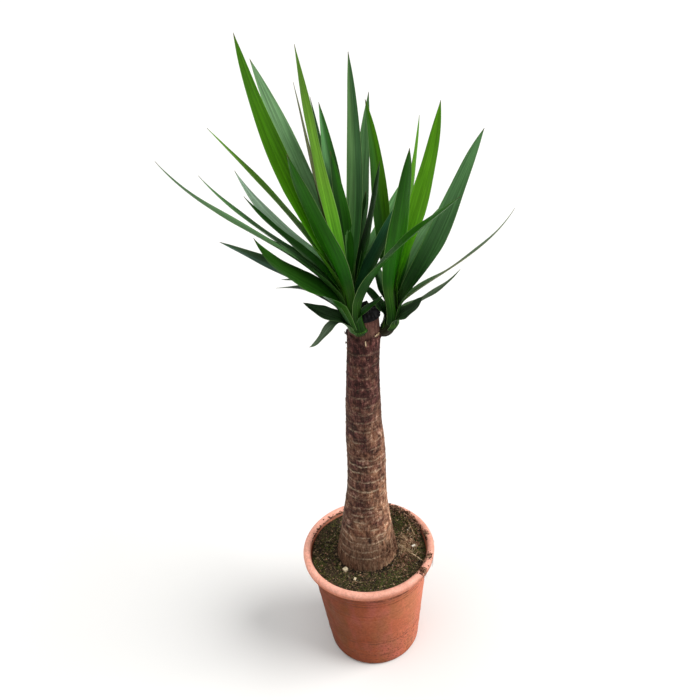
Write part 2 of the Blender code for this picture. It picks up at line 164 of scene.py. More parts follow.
def coordinate(tree, place, axis):
    """One coordinate of a place: 0 to the right, 1 to the back, 2 up."""
    return add_node(tree, "SeparateXYZ", {0: place}).outputs[axis]


def coat(tree, shader, colour, shine):
    """Wires a colour to the shader and sets how much the surface mirrors."""
    tree.links.new(colour, shader.inputs["Base Color"])
    shader.inputs["Specular IOR Level"].default_value = shine


def bump(tree, shader, height, distance, strength=1.0):
    made = add_node(tree, "Bump", {"Height": height, "Distance": distance, "Strength": strength})
    tree.links.new(made.outputs[0], shader.inputs["Normal"])


print("helpers for finishes are ready")

# %% [markdown]
# ## Pieces from bmesh shapes
# Each piece starts as a bmesh shape, gets its place inside its own mesh, and becomes an object
# that sits at the origin. It then rides on the body and hides the imported part it takes the place of.

# %% Helpers for pieces
def clamp(value, low=0.0, high=1.0):
    return min(max(value, low), high)


def outward(angle):
    """The level direction at an angle round the upright axis."""
    return Vector((math.cos(angle), math.sin(angle), 0.0))


def up(height):
    return Vector((0.0, 0.0, height))


def new_piece(name, shape, finish, replaces=None, sharp_degrees=40.0):
    mesh = bpy.data.meshes.new(name)
    shape.to_mesh(mesh)
    shape.free()
    mesh.materials.append(finish)
    mesh.shade_smooth()
    mesh.set_sharp_from_angle(angle=math.radians(sharp_degrees))
    piece = bpy.data.objects.new(name, mesh)
    bpy.context.scene.collection.objects.link(piece)
    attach(piece, BODY)
    if replaces:
        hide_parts(replaces)
    mesh.calc_loop_triangles()
    print(f"{name}: {len(mesh.loop_triangles)} triangles")
    return piece


def turned(profile, steps):
    """A body of revolution about Z from a closed line of (radius, height) points."""
    shape = bmesh.new()
    verts = [shape.verts.new((radius, 0.0, height)) for radius, height in profile]
    for pair in zip(verts, verts[1:]):
        shape.edges.new(pair)
    bmesh.ops.spin(shape, geom=shape.verts[:] + shape.edges[:], cent=(0, 0, 0), axis=(0, 0, 1),
                   angle=math.tau, steps=steps, use_merge=True)
    bmesh.ops.remove_doubles(shape, verts=shape.verts, dist=1e-6)
    bmesh.ops.recalc_face_normals(shape, faces=shape.faces)
    return shape


def arc(centre, radius, start, end, count):
    """Points of a circular arc in the profile plane, with angles in degrees."""
    angles = [math.radians(start + (end - start) * i / count) for i in range(count + 1)]
    return [(centre[0] + radius * math.cos(a), centre[1] + radius * math.sin(a)) for a in angles]


def loft(rings):
    """A closed body through rings with the same number of points."""
    shape = bmesh.new()
    face = shape.faces.new([shape.verts.new(point) for point in rings[0]])
    for ring in rings[1:]:
        face = bmesh.ops.extrude_discrete_faces(shape, faces=[face])["faces"][0]
        for vert, point in zip(face.verts, ring):
            vert.co = point
    bmesh.ops.holes_fill(shape, edges=[edge for edge in shape.edges if edge.is_boundary])
    bmesh.ops.recalc_face_normals(shape, faces=shape.faces)
    return shape


def as_mesh(shape):
    mesh = bpy.data.meshes.new("template")
    shape.to_mesh(mesh)
    shape.free()
    return mesh


def add_copy(bed, template, matrix=None, keep=True):
    """Adds a copy of a small mesh to a bed of many."""
    copy = template.copy() if keep else template
    if matrix:
        copy.transform(matrix)
    bed.from_mesh(copy)
    bpy.data.meshes.remove(copy)


def strand(bed, points, radius, sides, taper=0.4):
    """A thin thread along points, thinner towards its end."""
    rings = []
    for number, point in enumerate(points):
        before, after = points[max(number - 1, 0)], points[min(number + 1, len(points) - 1)]
        turn = (after - before).to_track_quat("Z", "Y")
        size = radius * (1.0 - (1.0 - taper) * number / (len(points) - 1))
        rings.append([point + turn @ (outward(math.tau * i / sides) * size)
                      for i in range(sides)])
    add_copy(bed, as_mesh(loft(rings)), keep=False)


print("helpers for pieces are ready")

# %% [markdown]
# ## The pot
# A blow-moulded nursery pot: a thin tapered wall, a slightly thicker band under the rim, a fat
# rolled rim and a foot with drain holes. A lathe-like spin of one profile gives all but the
# holes. The faint rings are the marks of the mould, so they are in the profile as tiny swellings.

# %% Pot profile
POT_HEIGHT = 0.255
FOOT_RADIUS = 0.095           # of the wall at the ground
TOP_RADIUS = 0.123            # where the same slope would reach the top
RIM_RADIUS = 0.135
RIM_LOW = POT_HEIGHT - 0.017
BEAD = 0.00725                # radius of the rolled rim
BAND_LOW = RIM_LOW - 0.026
BAND_STEP = 0.0012
WALL = 0.003
CORNER = 0.010
DISC_RADIUS = 0.034           # the raised disc in the middle of the underside
CHANNEL_HEIGHT = 0.005
FOOT_RING_WIDTH = 0.010
MOULD_RINGS = (               # height, swelling
    (0.157, 0.0005), (0.079, 0.0004), (0.046, 0.0006), (0.196, 0.0003),
)
MOULD_RING_WIDTH = 0.0016
WALL_ROWS = 100
RIM_ROWS = 20
POT_STEPS = 144


def wall_radius(height):
    return FOOT_RADIUS + (TOP_RADIUS - FOOT_RADIUS) * height / POT_HEIGHT


def moulded_radius(height):
    swell = sum(size * math.exp(-((height - place) / MOULD_RING_WIDTH) ** 2)
                for place, size in MOULD_RINGS)
    return wall_radius(height) + swell


def pot_profile():
    floor = CHANNEL_HEIGHT + WALL
    ring_outer = wall_radius(0.0) - CORNER * 0.45
    ring_inner = ring_outer - FOOT_RING_WIDTH
    wall_rows = [CORNER + (BAND_LOW - CORNER) * i / WALL_ROWS for i in range(WALL_ROWS + 1)]
    outside = [(0.0, 0.0), (DISC_RADIUS, 0.0),
               (DISC_RADIUS + CHANNEL_HEIGHT, CHANNEL_HEIGHT),
               (ring_inner - CHANNEL_HEIGHT, CHANNEL_HEIGHT), (ring_inner, 0.0),
               (ring_outer, 0.0), (ring_outer + 0.0018, 0.0007), (ring_outer + 0.0034, 0.0028),
               (wall_radius(CORNER) - 0.0007, 0.0062)]
    outside += [(moulded_radius(z), z) for z in wall_rows]
    outside += [(wall_radius(BAND_LOW) + BAND_STEP * 0.8, BAND_LOW + BAND_STEP * 0.6),
                (wall_radius(BAND_LOW) + BAND_STEP, BAND_LOW + BAND_STEP * 1.5),
                (wall_radius(RIM_LOW) + BAND_STEP, RIM_LOW - 0.002),
                (wall_radius(RIM_LOW) + BAND_STEP + 0.0008, RIM_LOW + 0.0006),
                (RIM_RADIUS - 0.0040, RIM_LOW), (RIM_RADIUS - 0.0020, RIM_LOW + 0.0006),
                (RIM_RADIUS - 0.0008, RIM_LOW + 0.0020)]
    top = arc((RIM_RADIUS - BEAD, POT_HEIGHT - BEAD), BEAD, 0, 180, RIM_ROWS)
    inside = [(top[-1][0], RIM_LOW + 0.001), (wall_radius(RIM_LOW) - WALL, RIM_LOW - 0.004),
              (wall_radius(floor + CORNER) - WALL, floor + CORNER),
              (wall_radius(floor) - WALL - CORNER * 0.6, floor), (0.0, floor)]
    return outside + top + inside


print("pot profile has", len(pot_profile()), "points")

# %% [markdown]
# The shell is spun, then drilled from below with one Boolean. A blow-moulded wall is never quite
# round, so the wall between foot and rim also moves in and out by a few tenths of a millimetre.

# %% Pot shape
DRAIN_COUNT = 8
DRAIN_RADIUS = 0.006
DRAIN_CIRCLE = 0.060
WARP = 0.0005                 # how far the wall strays from round


def drilled(target, drills):
    """Cuts holes out of a piece and keeps the result in its own mesh."""
    group = bpy.data.collections.new("drills")
    for drill in drills:
        group.objects.link(drill)
    cut = target.modifiers.new("drain_holes", "BOOLEAN")
    cut.operation = "DIFFERENCE"
    cut.operand_type = "COLLECTION"
    cut.collection = group
    seen = target.evaluated_get(bpy.context.evaluated_depsgraph_get())
    target.data = bpy.data.meshes.new_from_object(seen)
    target.modifiers.clear()
    for drill in drills:
        bpy.data.objects.remove(drill, do_unlink=True)
    bpy.data.collections.remove(group)


def drain_drill(angle):
    shape = bmesh.new()
    bmesh.ops.create_cone(shape, cap_ends=True, segments=24, radius1=DRAIN_RADIUS,
                          radius2=DRAIN_RADIUS, depth=0.04)
    place = outward(angle) * DRAIN_CIRCLE + up(CHANNEL_HEIGHT)
    bmesh.ops.translate(shape, verts=shape.verts, vec=place)
    drill = bpy.data.objects.new("drill", as_mesh(shape))
    bpy.context.scene.collection.objects.link(drill)
    return drill


def warp_wall(shape):
    """Moves the wall in and out a little, but not the foot or the rim."""
    for vert in shape.verts:
        if 0.012 < vert.co.z < RIM_LOW - 0.006:
            flat = Vector((vert.co.x, vert.co.y, 0.0)).normalized()
            sway = noise.noise(Vector((vert.co.x, vert.co.y, vert.co.z * 0.7)) * 14.0)
            vert.co += flat * sway * WARP


print("pot shape is ready to be spun, with", DRAIN_COUNT, "holes")

# %% [markdown]
# The plastic is orange-red with a pinkish bloom, matt rather than glossy. Its colour is painted
# darker on the left and paler on the right, as painted shade and painted light. Thin dark lines from
# the mould run round the wall and break off where a noise is low; the widest, just under the rim,
# is also a painted shadow of the rim.

# %% Colour of the plastic
MOULD_LINES_AND_RIM_SHADE = (               # height, half width and strength; the first is a mould line and a painted shadow under the rim
    (0.2205, 0.0048, 0.95), (0.2110, 0.0028, 0.70), (0.2020, 0.0028, 0.65), (0.1700, 0.0020, 0.45),
    (0.0830, 0.0020, 0.50), (0.0755, 0.0030, 0.75), (0.0340, 0.0028, 0.55),
)


def near_height(tree, height, place, half):
    """One near a height, falling to nothing half a band away from it."""
    away = add_node(tree, "Math", {0: height, 1: place}, operation="SUBTRACT").outputs[0]
    away = add_node(tree, "Math", {0: away}, operation="ABSOLUTE").outputs[0]
    return spread(tree, away, half, half * 0.4)


def plastic_colour(tree, place):
    """Orange-red, pinker in some patches and browner in others."""
    base = ramp(tree, cloud(tree, place, 13.0, 5.0, 0.62),
                ((0.30, (0.335, 0.070, 0.022)), (0.50, (0.405, 0.094, 0.034)),
                 (0.72, (0.455, 0.120, 0.050))))
    pink = spread(tree, cloud(tree, object_place(tree, (1.3, 1.3, 0.5)), 21.0, 5.0), 0.48, 0.62)
    base = blend(tree, product(tree, pink, 0.70), base, (0.480, 0.110, 0.078))
    olive = spread(tree, cloud(tree, object_place(tree, (1.4, 1.4, 0.7)), 16.0, 5.0), 0.50, 0.64)
    return blend(tree, product(tree, olive, 0.60), base, (0.285, 0.105, 0.030))


def painted_side_light(tree, base, left_to_right):
    """Painted shade on the left and painted light on the right."""
    # painted light, strongest on the right, and painted shade on the left
    painted_light_share = product(tree, left_to_right, left_to_right)
    base = shaded(tree, base, spread(tree, painted_light_share, 0.0, 1.0, 0.50, 1.48))
    painted_highlight = product(tree, product(tree, painted_light_share, left_to_right), 0.60)
    return blend(tree, painted_highlight, base, (0.760, 0.275, 0.175))


def mould_lined_and_rim_shaded(tree, base, place, height):
    scratched = cloud(tree, object_place(tree, (1.0, 1.0, 16.0)), 22.0, 5.0, 0.65)
    base = shaded(tree, base, spread(tree, scratched, 0.34, 0.66, 0.93, 1.07))
    broken = spread(tree, cloud(tree, place, 75.0, 5.0, 0.80), 0.42, 0.56, 0.05, 1.0)
    # dark mould lines; the first, widest one also paints the shadow under the rim
    for line, half, force in MOULD_LINES_AND_RIM_SHADE:
        dark = product(tree, near_height(tree, height, line, half), broken)
        base = blend(tree, product(tree, dark, force), base, (0.130, 0.042, 0.022))
    return base


print("colour of the plastic has", len(MOULD_LINES_AND_RIM_SHADE), "mould lines")

# %% [markdown]
# Use has left its marks: the top of the rim is chalky, dried mud is splashed over the lower wall,
# and the foot is stained. The mud is a thresholded fine noise that is only let through low down.

# %% Wear of the plastic
MUD_TOP, MUD_FULL = 0.150, 0.020


def rim_worn_and_lit(tree, base, place, height, left_to_right):
    """Cleaner plastic on the side of the rim, chalky plastic on its top, and painted light on its left
    half.
    """
    pattern = cloud(tree, place, 34.0, 5.0, 0.6)
    clean = ramp(tree, pattern, ((0.35, (0.480, 0.160, 0.090)), (0.65, (0.580, 0.215, 0.135))))
    chalky = ramp(tree, pattern, ((0.35, (0.700, 0.330, 0.245)), (0.65, (0.780, 0.390, 0.300))))
    on_top = spread(tree, height, POT_HEIGHT - 0.011, POT_HEIGHT - 0.003)
    wear_and_painted_light = blend(tree, on_top, clean, chalky)
    # painted light that brightens the left half of the rim
    wear_and_painted_light = shaded(tree, wear_and_painted_light, spread(tree, left_to_right, 0.0, 0.5, 1.22, 1.0))
    return blend(tree, spread(tree, height, RIM_LOW - 0.001, RIM_LOW + 0.004), base, wear_and_painted_light)


def muddied(tree, base, place, height, left_to_right):
    """Stains and specks low on the wall, smudges all over, and a dark foot."""
    low = spread(tree, height, MUD_TOP, MUD_FULL)
    stain = spread(tree, cloud(tree, place, 60.0, 6.0, 0.7), 0.50, 0.70)
    base = blend(tree, product(tree, product(tree, stain, low), 0.50), base, (0.190, 0.070, 0.035))
    specks = spread(tree, cloud(tree, place, 230.0, 3.0, 0.60), 0.560, 0.590)
    specks = product(tree, specks, spread(tree, left_to_right, 0.30, 0.75, 0.35, 1.0))
    base = blend(tree, product(tree, product(tree, specks, low), 0.85), base, (0.075, 0.034, 0.020))
    smudge = spread(tree, cloud(tree, place, 90.0, 6.0, 0.75), 0.62, 0.74)
    base = blend(tree, product(tree, smudge, 0.35), base, (0.210, 0.085, 0.050))
    foot = product(tree, spread(tree, height, 0.012, 0.000), 0.5)
    return blend(tree, foot, base, (0.180, 0.075, 0.040))


print("mud ends", MUD_TOP, "m above the ground")

# %% [markdown]
# Colour, mould lines, rim and mud are laid over one another in that order, as they would be on the
# real pot; the colour, the widest mould line and the rim also carry painted light and shade. Two
# more noises make the surface grainy and uneven in its gloss. The shell is then spun, warped and
# drilled.

# %% Pot finish
def terracotta_finish():
    made, tree, shader = new_finish("terracotta_plastic", 0.55)
    place = object_place(tree)
    height = coordinate(tree, place, 2)
    left_to_right = spread(tree, coordinate(tree, place, 0), -0.120, 0.120)
    # the wall is painted darker on the left and paler on the right, as painted shade and painted light
    base = painted_side_light(tree, plastic_colour(tree, place), left_to_right)
    base = mould_lined_and_rim_shaded(tree, base, place, height)
    base = rim_worn_and_lit(tree, base, place, height, left_to_right)
    grain = spread(tree, cloud(tree, place, 190.0, 5.0, 0.80), 0.38, 0.62, 0.84, 1.16)
    base = shaded(tree, base, grain)
    coat(tree, shader, muddied(tree, base, place, height, left_to_right), 0.07)
    rough = spread(tree, cloud(tree, place, 40.0, 5.0), 0.3, 0.7, 0.48, 0.68)
    tree.links.new(rough, shader.inputs["Roughness"])
    bump(tree, shader, cloud(tree, place, 420.0, 5.0, 0.7), 0.0004, 0.35)
    return made


pot_shape = turned(pot_profile(), POT_STEPS)
warp_wall(pot_shape)
pot = new_piece("pot_shell", pot_shape, terracotta_finish(), "pot", 50.0)
drilled(pot, [drain_drill(math.tau * (i + 0.5) / DRAIN_COUNT) for i in range(DRAIN_COUNT)])

# %% [markdown]
# ## The soil
# Dark potting soil, lumpy, with moss growing over much of it. Its surface is a fine spun disc that
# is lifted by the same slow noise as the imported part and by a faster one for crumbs. Under the
# surface it keeps the plain filled shape with the hole that the cane stands in.

# %% Soil shape
SOIL_EDGE_Z = RIM_LOW         # level with the lower edge of the rim
CANE_FOOT_Z = 0.150
CANE_HOLE = 0.0610            # radius of the cane where it goes into the soil
CANE_SHIFT = 0.0030           # how far left of the middle it stands
GAP = 0.0003                  # left between parts that would touch
MOUND = 0.006                 # how much higher the soil is at the cane
BACK_RISE = 0.008             # and at the back wall
LUMP_HIGH, CRUMB_HIGH = 0.0022, 0.0011
SOIL_RINGS = 46
SOIL_STEPS = 200


def inner_wall_radius(height):
    low = CHANNEL_HEIGHT + WALL + CORNER
    high = RIM_LOW - 0.004
    share = clamp((height - low) / (high - low))
    low_radius = wall_radius(low) - WALL
    return low_radius + (wall_radius(RIM_LOW) - WALL - low_radius) * share


def soil_height(x, y):
    radius = math.hypot(x, y)
    mound = MOUND * max(0.0, 1.0 - radius / inner_wall_radius(SOIL_EDGE_Z))
    edge = clamp((radius - 0.085) / 0.025)
    back = clamp(y / 0.06) * (0.8 + 0.2 * clamp(x / 0.05, -1.0))
    mound += BACK_RISE * edge * back
    lump = noise.noise(Vector((x, y, 0.0)) * 38.0) + 0.5 * noise.noise(Vector((x, y, 1.0)) * 85.0)
    crumb = noise.noise(Vector((x, y, 2.0)) * 190.0) + 0.6 * noise.noise(Vector((x, y, 3.0)) * 380.0)
    return SOIL_EDGE_Z + mound + LUMP_HIGH * lump + CRUMB_HIGH * crumb


def soil_shape():
    low = CHANNEL_HEIGHT + WALL + GAP
    hole = CANE_HOLE + GAP
    corner_radius = wall_radius(low) - WALL - CORNER * 0.6 - GAP
    wall = [(inner_wall_radius(z) - GAP * 1.5, z) for z in (low + CORNER, SOIL_EDGE_Z)]
    outer = wall[-1][0]
    top = [(hole + (outer - hole) * (1 - i / SOIL_RINGS), SOIL_EDGE_Z)
           for i in range(1, SOIL_RINGS + 1)]
    profile = [(0.0, low), (corner_radius, low)] + wall + top
    profile += [(hole, CANE_FOOT_Z - GAP), (0.0, CANE_FOOT_Z - GAP)]
    shape = turned(profile, SOIL_STEPS)
    for vert in shape.verts:
        radius = math.hypot(vert.co.x, vert.co.y)
        inward = clamp((outer - radius) / (outer - hole))
        if vert.co.z > CANE_FOOT_Z - 2 * GAP and radius < outer:
            vert.co.x -= CANE_SHIFT * inward
        if vert.co.z > SOIL_EDGE_Z - GAP:
            vert.co.z = soil_height(vert.co.x, vert.co.y)
    return shape


print("soil lies at", SOIL_EDGE_Z, "m round the wall")

# %% [markdown]
# Wet peat is nearly black, its dry crumbs are brown, and moss turns it green in patches. Two
# ramps over fine noises give the two grounds, and a slower noise chooses between them.

# %% Soil finish
def soil_finish():
    made, tree, shader = new_finish("potting_soil", 0.95)
    place = object_place(tree)
    base = ramp(tree, cloud(tree, place, 230.0, 6.0, 0.72),
                ((0.34, (0.010, 0.007, 0.005)), (0.50, (0.038, 0.024, 0.015)),
                 (0.64, (0.120, 0.078, 0.046)), (0.76, (0.300, 0.215, 0.130))))
    patch = spread(tree, cloud(tree, place, 27.0, 4.0, 0.65), 0.42, 0.58)
    green = ramp(tree, cloud(tree, place, 300.0, 5.0, 0.75),
                 ((0.35, (0.014, 0.016, 0.005)), (0.55, (0.055, 0.064, 0.016)),
                  (0.70, (0.170, 0.180, 0.055)), (0.82, (0.300, 0.290, 0.100))))
    base = blend(tree, product(tree, patch, 0.85), base, green)
    coat(tree, shader, base, 0.15)
    bump(tree, shader, cloud(tree, place, 420.0, 6.0, 0.75), 0.0022, 1.0)
    return made


soil_mesh = soil_shape()
ground = BVHTree.FromBMesh(soil_mesh)
new_piece("soil_bed", soil_mesh, soil_finish(), "soil", 60.0)

# %% [markdown]
# ## What lies on the soil
# Seen close, the surface is a litter of crumbs, small stones, moss tufts, dry roots and a tangle
# of fibres to the right of the cane. Each kind is one piece: small shapes with few faces are
# dropped on the soil by a ray from above, with draws from a seeded generator so that every run
# gives the same litter.

# %% Helpers for litter
SOIL_REACH = 0.1165           # how far from the middle litter may start
KINDS = 4                     # different crumbs or tufts that a piece is made of


def on_soil(x, y):
    """The point of the soil straight below, or nothing beyond its edge."""
    return ground.ray_cast(Vector((x, y, 0.4)), Vector((0.0, 0.0, -1.0)))[0]


def cane_clear(x, y, margin):
    return math.hypot(x + CANE_SHIFT, y) > CANE_HOLE + margin


def random_place(draw, margin):
    """An even draw over the soil, away from the cane."""
    while True:
        radius, angle = SOIL_REACH * math.sqrt(draw.random()), draw.uniform(0.0, math.tau)
        x, y = radius * math.cos(angle), radius * math.sin(angle)
        if cane_clear(x, y, margin):
            return x, y


def crumb_template(seed, flat):
    """A lump with uneven corners. Its radius is about one, until tossing gives it its size."""
    draw = random.Random(seed)
    shape = bmesh.new()
    bmesh.ops.create_icosphere(shape, subdivisions=1, radius=1.0)
    for vert in shape.verts:
        vert.co *= draw.uniform(0.72, 1.1)
        vert.co.z *= flat
    return as_mesh(shape)


def crumb_templates(seed, flat):
    return [crumb_template(seed * 10 + i, flat) for i in range(KINDS)]


def tossed(place, size, draw, lean=0.5):
    """The matrix of a bit that fell at a place, turned and tipped at random."""
    turn = Matrix.Rotation(draw.uniform(0, math.tau), 4, "Z")
    tip = Matrix.Rotation(draw.uniform(-lean, lean), 4, "X")
    return Matrix.Translation(place) @ turn @ tip @ Matrix.Diagonal((size, size, size, 1.0))


def toss_crumb(bed, templates, place, size, draw):
    add_copy(bed, templates[draw.randrange(KINDS)], tossed(place, size, draw))


print("litter may start up to", SOIL_REACH, "m from the middle")

# %% [markdown]
# All the litter shares one kind of finish. Each bit takes its own shade, because the cells of the
# pattern are about as small as a crumb, and a list of colour stops tells the kinds apart.

# %% Finishes of the litter
def litter_finish(name, stops, scale=300.0, roughness=0.95):
    made, tree, shader = new_finish(name, roughness)
    place = object_place(tree)
    cell = add_node(tree, "TexVoronoi", {"Vector": place, "Scale": scale}).outputs["Color"]
    shade = add_node(tree, "SeparateColor", {0: cell}).outputs[0]
    fine = spread(tree, cloud(tree, place, scale * 3.0, 4.0), 0.3, 0.7, 0.75, 1.25)
    coat(tree, shader, shaded(tree, ramp(tree, shade, stops), fine), 0.2)
    bump(tree, shader, cloud(tree, place, scale * 4.0, 4.0), 0.0004, 0.6)
    return made


CRUMB_STOPS = ((0.10, (0.010, 0.007, 0.005)), (0.55, (0.040, 0.025, 0.015)),
               (0.86, (0.115, 0.072, 0.040)), (0.99, (0.30, 0.21, 0.12)))
MOSS_STOPS = ((0.10, (0.020, 0.026, 0.006)), (0.45, (0.072, 0.088, 0.018)),
              (0.75, (0.170, 0.180, 0.045)), (0.95, (0.34, 0.32, 0.11)))
PALE_STOPS = ((0.10, (0.40, 0.36, 0.28)), (0.60, (0.62, 0.56, 0.46)), (0.95, (0.80, 0.77, 0.70)))
ROOT_STOPS = ((0.10, (0.26, 0.160, 0.085)), (0.55, (0.48, 0.330, 0.19)), (0.95, (0.70, 0.54, 0.35)))
RUST_STOPS = ((0.10, (0.050, 0.020, 0.012)), (0.55, (0.165, 0.074, 0.043)),
              (0.95, (0.40, 0.24, 0.155)))
crumb_material = litter_finish("soil_crumbs", CRUMB_STOPS)
moss_material = litter_finish("moss", MOSS_STOPS, 240.0)
pale_material = litter_finish("pale_grit", PALE_STOPS)
root_material = litter_finish("dry_root", ROOT_STOPS, 140.0, 0.85)
rust_material = litter_finish("bark_litter", RUST_STOPS, 220.0)
print("litter finishes:", crumb_material.name, moss_material.name, pale_material.name)

# %% [markdown]
# Crumbs are squashed icospheres with uneven corners. Most are dark, and the few pale ones are
# perlite and grit, which nurseries mix in so that the soil drains.

# %% Crumbs and grit
HEAP_REACH = 0.114
COLLAR_HEAPS = 30             # heaps in a ring round the foot of the cane
COLLAR_RADIUS = 0.0635


def scatter_crumbs(name, finish, count, sizes, seed, flat=0.7):
    draw, templates, bed = random.Random(seed), crumb_templates(seed, flat), bmesh.new()
    for _ in range(count):
        hit = on_soil(*random_place(draw, 0.002))
        size = draw.uniform(*sizes) * draw.uniform(0.6, 1.0)
        hit.z += size * flat * 0.35
        toss_crumb(bed, templates, hit, size, draw)
    return new_piece(name, bed, finish)


def heap_crumbs(name, finish, heaps, seed):
    """Crumbs in heaps: each has a centre, a reach both ways, a count, a size and a height."""
    draw, templates, bed = random.Random(seed), crumb_templates(seed, 0.6), bmesh.new()
    for x, y, across, along, count, size, high in heaps:
        for _ in range(count):
            place = (draw.gauss(x, across), draw.gauss(y, along))
            if math.hypot(*place) > HEAP_REACH or not cane_clear(*place, 0.0005):
                continue
            hit = on_soil(*place)
            near = math.exp(-((place[0] - x) / across) ** 2 - ((place[1] - y) / along) ** 2)
            hit.z += high * near * draw.random()
            toss_crumb(bed, templates, hit, size * draw.uniform(0.35, 1.0), draw)
    return new_piece(name, bed, finish)


scatter_crumbs("soil_crumbs", crumb_material, 3000, (0.0007, 0.0026), 11)
scatter_crumbs("pale_grit", pale_material, 90, (0.0005, 0.0012), 12)
scatter_crumbs("bark_crumbs", rust_material, 260, (0.0008, 0.0030), 13, flat=0.4)
heap_crumbs("heaped_bark", rust_material, (
    (0.078, 0.008, 0.010, 0.014, 420, 0.0022, 0.0040),
    (0.070, -0.024, 0.008, 0.012, 160, 0.0018, 0.0025),
    (0.088, 0.046, 0.012, 0.014, 120, 0.0018, 0.0025),
    (0.094, 0.014, 0.008, 0.012, 160, 0.0020, 0.0030),
    (0.058, -0.052, 0.010, 0.010, 120, 0.0018, 0.0020),
), 14)
heap_crumbs("pale_bits", pale_material, (
    (0.072, -0.002, 0.008, 0.007, 9, 0.0026, 0.0020),
    (0.102, 0.040, 0.005, 0.008, 12, 0.0022, 0.0020),
    (0.088, 0.052, 0.010, 0.008, 8, 0.0018, 0.0020),
), 16)
heap_crumbs("heaped_soil", crumb_material, [
    (COLLAR_RADIUS * math.cos(turn) - CANE_SHIFT, COLLAR_RADIUS * math.sin(turn),
     0.0045, 0.0045, 34, 0.0026, 0.0050)
    for turn in [math.tau * i / COLLAR_HEAPS for i in range(COLLAR_HEAPS)]
], 15)

# %% [markdown]
# Moss is drawn as tufts of tiny pointed leaves. Four tufts are made and copied many hundred
# times, denser on the left and along the back, where the photograph is greenest.

# %% Moss
def tuft_template(seed):
    draw = random.Random(seed)
    bed = bmesh.new()
    for _ in range(7):
        height = draw.uniform(0.6, 1.0)
        place = Vector((draw.uniform(-0.35, 0.35), draw.uniform(-0.35, 0.35), 0.0))
        lean = Matrix.Rotation(draw.uniform(0.1, 0.7), 4, Vector((-place.y, place.x, 0.0)))
        matrix = Matrix.Translation(place) @ lean @ Matrix.Translation((0, 0, height / 2 - 0.15))
        bmesh.ops.create_cone(bed, cap_ends=True, segments=3, radius1=0.13, radius2=0.015,
                              depth=height, matrix=matrix)
    return as_mesh(bed)


def tuft_templates(seed):
    return [tuft_template(seed + i) for i in range(KINDS)]


def moss_share(x, y):
    """How likely moss is at a place: most on the left and at the back, in patches."""
    patch = noise.noise(Vector((x, y, 5.0)) * 34.0)
    side = 0.30 if x < 0.0 else 0.05
    side += 0.15 if y > 0.06 else 0.0
    return 0.36 + side + 0.9 * patch


def grow_moss(count, seed):
    draw, templates, bed = random.Random(seed), tuft_templates(seed), bmesh.new()
    grown = 0
    while grown < count:
        x, y = random_place(draw, 0.001)
        if draw.random() < moss_share(x, y):
            matrix = tossed(on_soil(x, y), draw.uniform(0.0022, 0.0042), draw, 0.3)
            add_copy(bed, templates[draw.randrange(KINDS)], matrix)
            grown += 1
    return new_piece("moss_tufts", bed, moss_material, sharp_degrees=80.0)


grow_moss(1500, 21)

# %% [markdown]
# Pale dry roots lie across the soil, the longest two on the right, and a small tangle of fibres
# sits between those and the cane. Their paths are a few points as seen from above, joined by
# short curves that follow the soil.

# %% Roots and fibres
ROOT_STEPS = 5                # points between two places of a root
ROOTS = (                     # places to the right and back in centimetres, thickness in mm
    (((8.0, 9.0), (8.9, 6.6), (9.3, 5.2), (9.6, 3.8), (10.0, 2.6)), 1.5),
    (((8.9, 6.6), (9.8, 6.9), (10.6, 6.2)), 1.0),
    (((9.3, 5.2), (8.6, 4.4), (8.3, 3.4)), 0.9),
    (((7.6, -0.6), (8.4, -1.9), (9.4, -2.6), (10.3, -3.6), (11.0, -4.4)), 1.3),
    (((9.4, -2.6), (9.9, -1.9), (10.8, -1.7)), 0.5),
    (((-3.6, -8.0), (-2.4, -8.6), (-1.2, -8.4)), 0.5),
    (((-8.2, 3.4), (-7.2, 4.4), (-6.8, 5.6)), 0.5),
    (((1.8, 9.0), (3.2, 9.4), (4.8, 8.8)), 0.6),
)


def resting(places, lift, bend, draw):
    """A bent line through places in centimetres, laid on the soil with a small lift."""
    path = []
    for first, second in zip(places, places[1:]):
        for i in range(ROOT_STEPS):
            share = i / ROOT_STEPS
            x = (first[0] + (second[0] - first[0]) * share) * CM + draw.uniform(-bend, bend)
            y = (first[1] + (second[1] - first[1]) * share) * CM + draw.uniform(-bend, bend)
            hit = on_soil(x, y)
            if hit:
                path.append(hit + up(lift * (0.4 + math.sin(math.pi * share))))
    return path


def lay_roots():
    draw, bed = random.Random(31), bmesh.new()
    for places, thick in ROOTS:
        path = resting(places, 0.0012, 0.0006, draw)
        strand(bed, path, thick * MM, 5, 0.5)
    return new_piece("dry_roots", bed, root_material)


FIBRE_REACH = 0.113


def tangle(name, count, centre, reach, seed, finish, thick=0.00035, high=0.008):
    """A loose heap of bent fibres round a centre, each starting and ending on the soil."""
    draw, bed = random.Random(seed), bmesh.new()
    made = 0
    while made < count:
        angle = draw.uniform(0, math.tau)
        x = centre[0] + draw.gauss(0, reach[0])
        y = centre[1] + draw.gauss(0, reach[1])
        length = draw.uniform(0.008, 0.024)
        end = (x + length * math.cos(angle), y + length * math.sin(angle))
        if not (cane_clear(x, y, 0.001) and cane_clear(*end, 0.001)):
            continue
        if max(math.hypot(x, y), math.hypot(*end)) > FIBRE_REACH:
            continue
        rise = draw.uniform(0.1, 1.0) * high * math.exp(-((x - centre[0]) / 0.03) ** 2)
        side = Vector((-math.sin(angle), math.cos(angle), 0.0)) * draw.uniform(-0.3, 0.3) * length
        path = []
        for i in range(6):
            share = i / 5
            place = (x + (end[0] - x) * share, y + (end[1] - y) * share)
            hump = math.sin(math.pi * share)
            path.append(on_soil(*place) + side * hump + up(0.0002 + rise * hump))
        strand(bed, path, thick * draw.uniform(0.6, 1.3), 3)
        made += 1
    return new_piece(name, bed, finish)


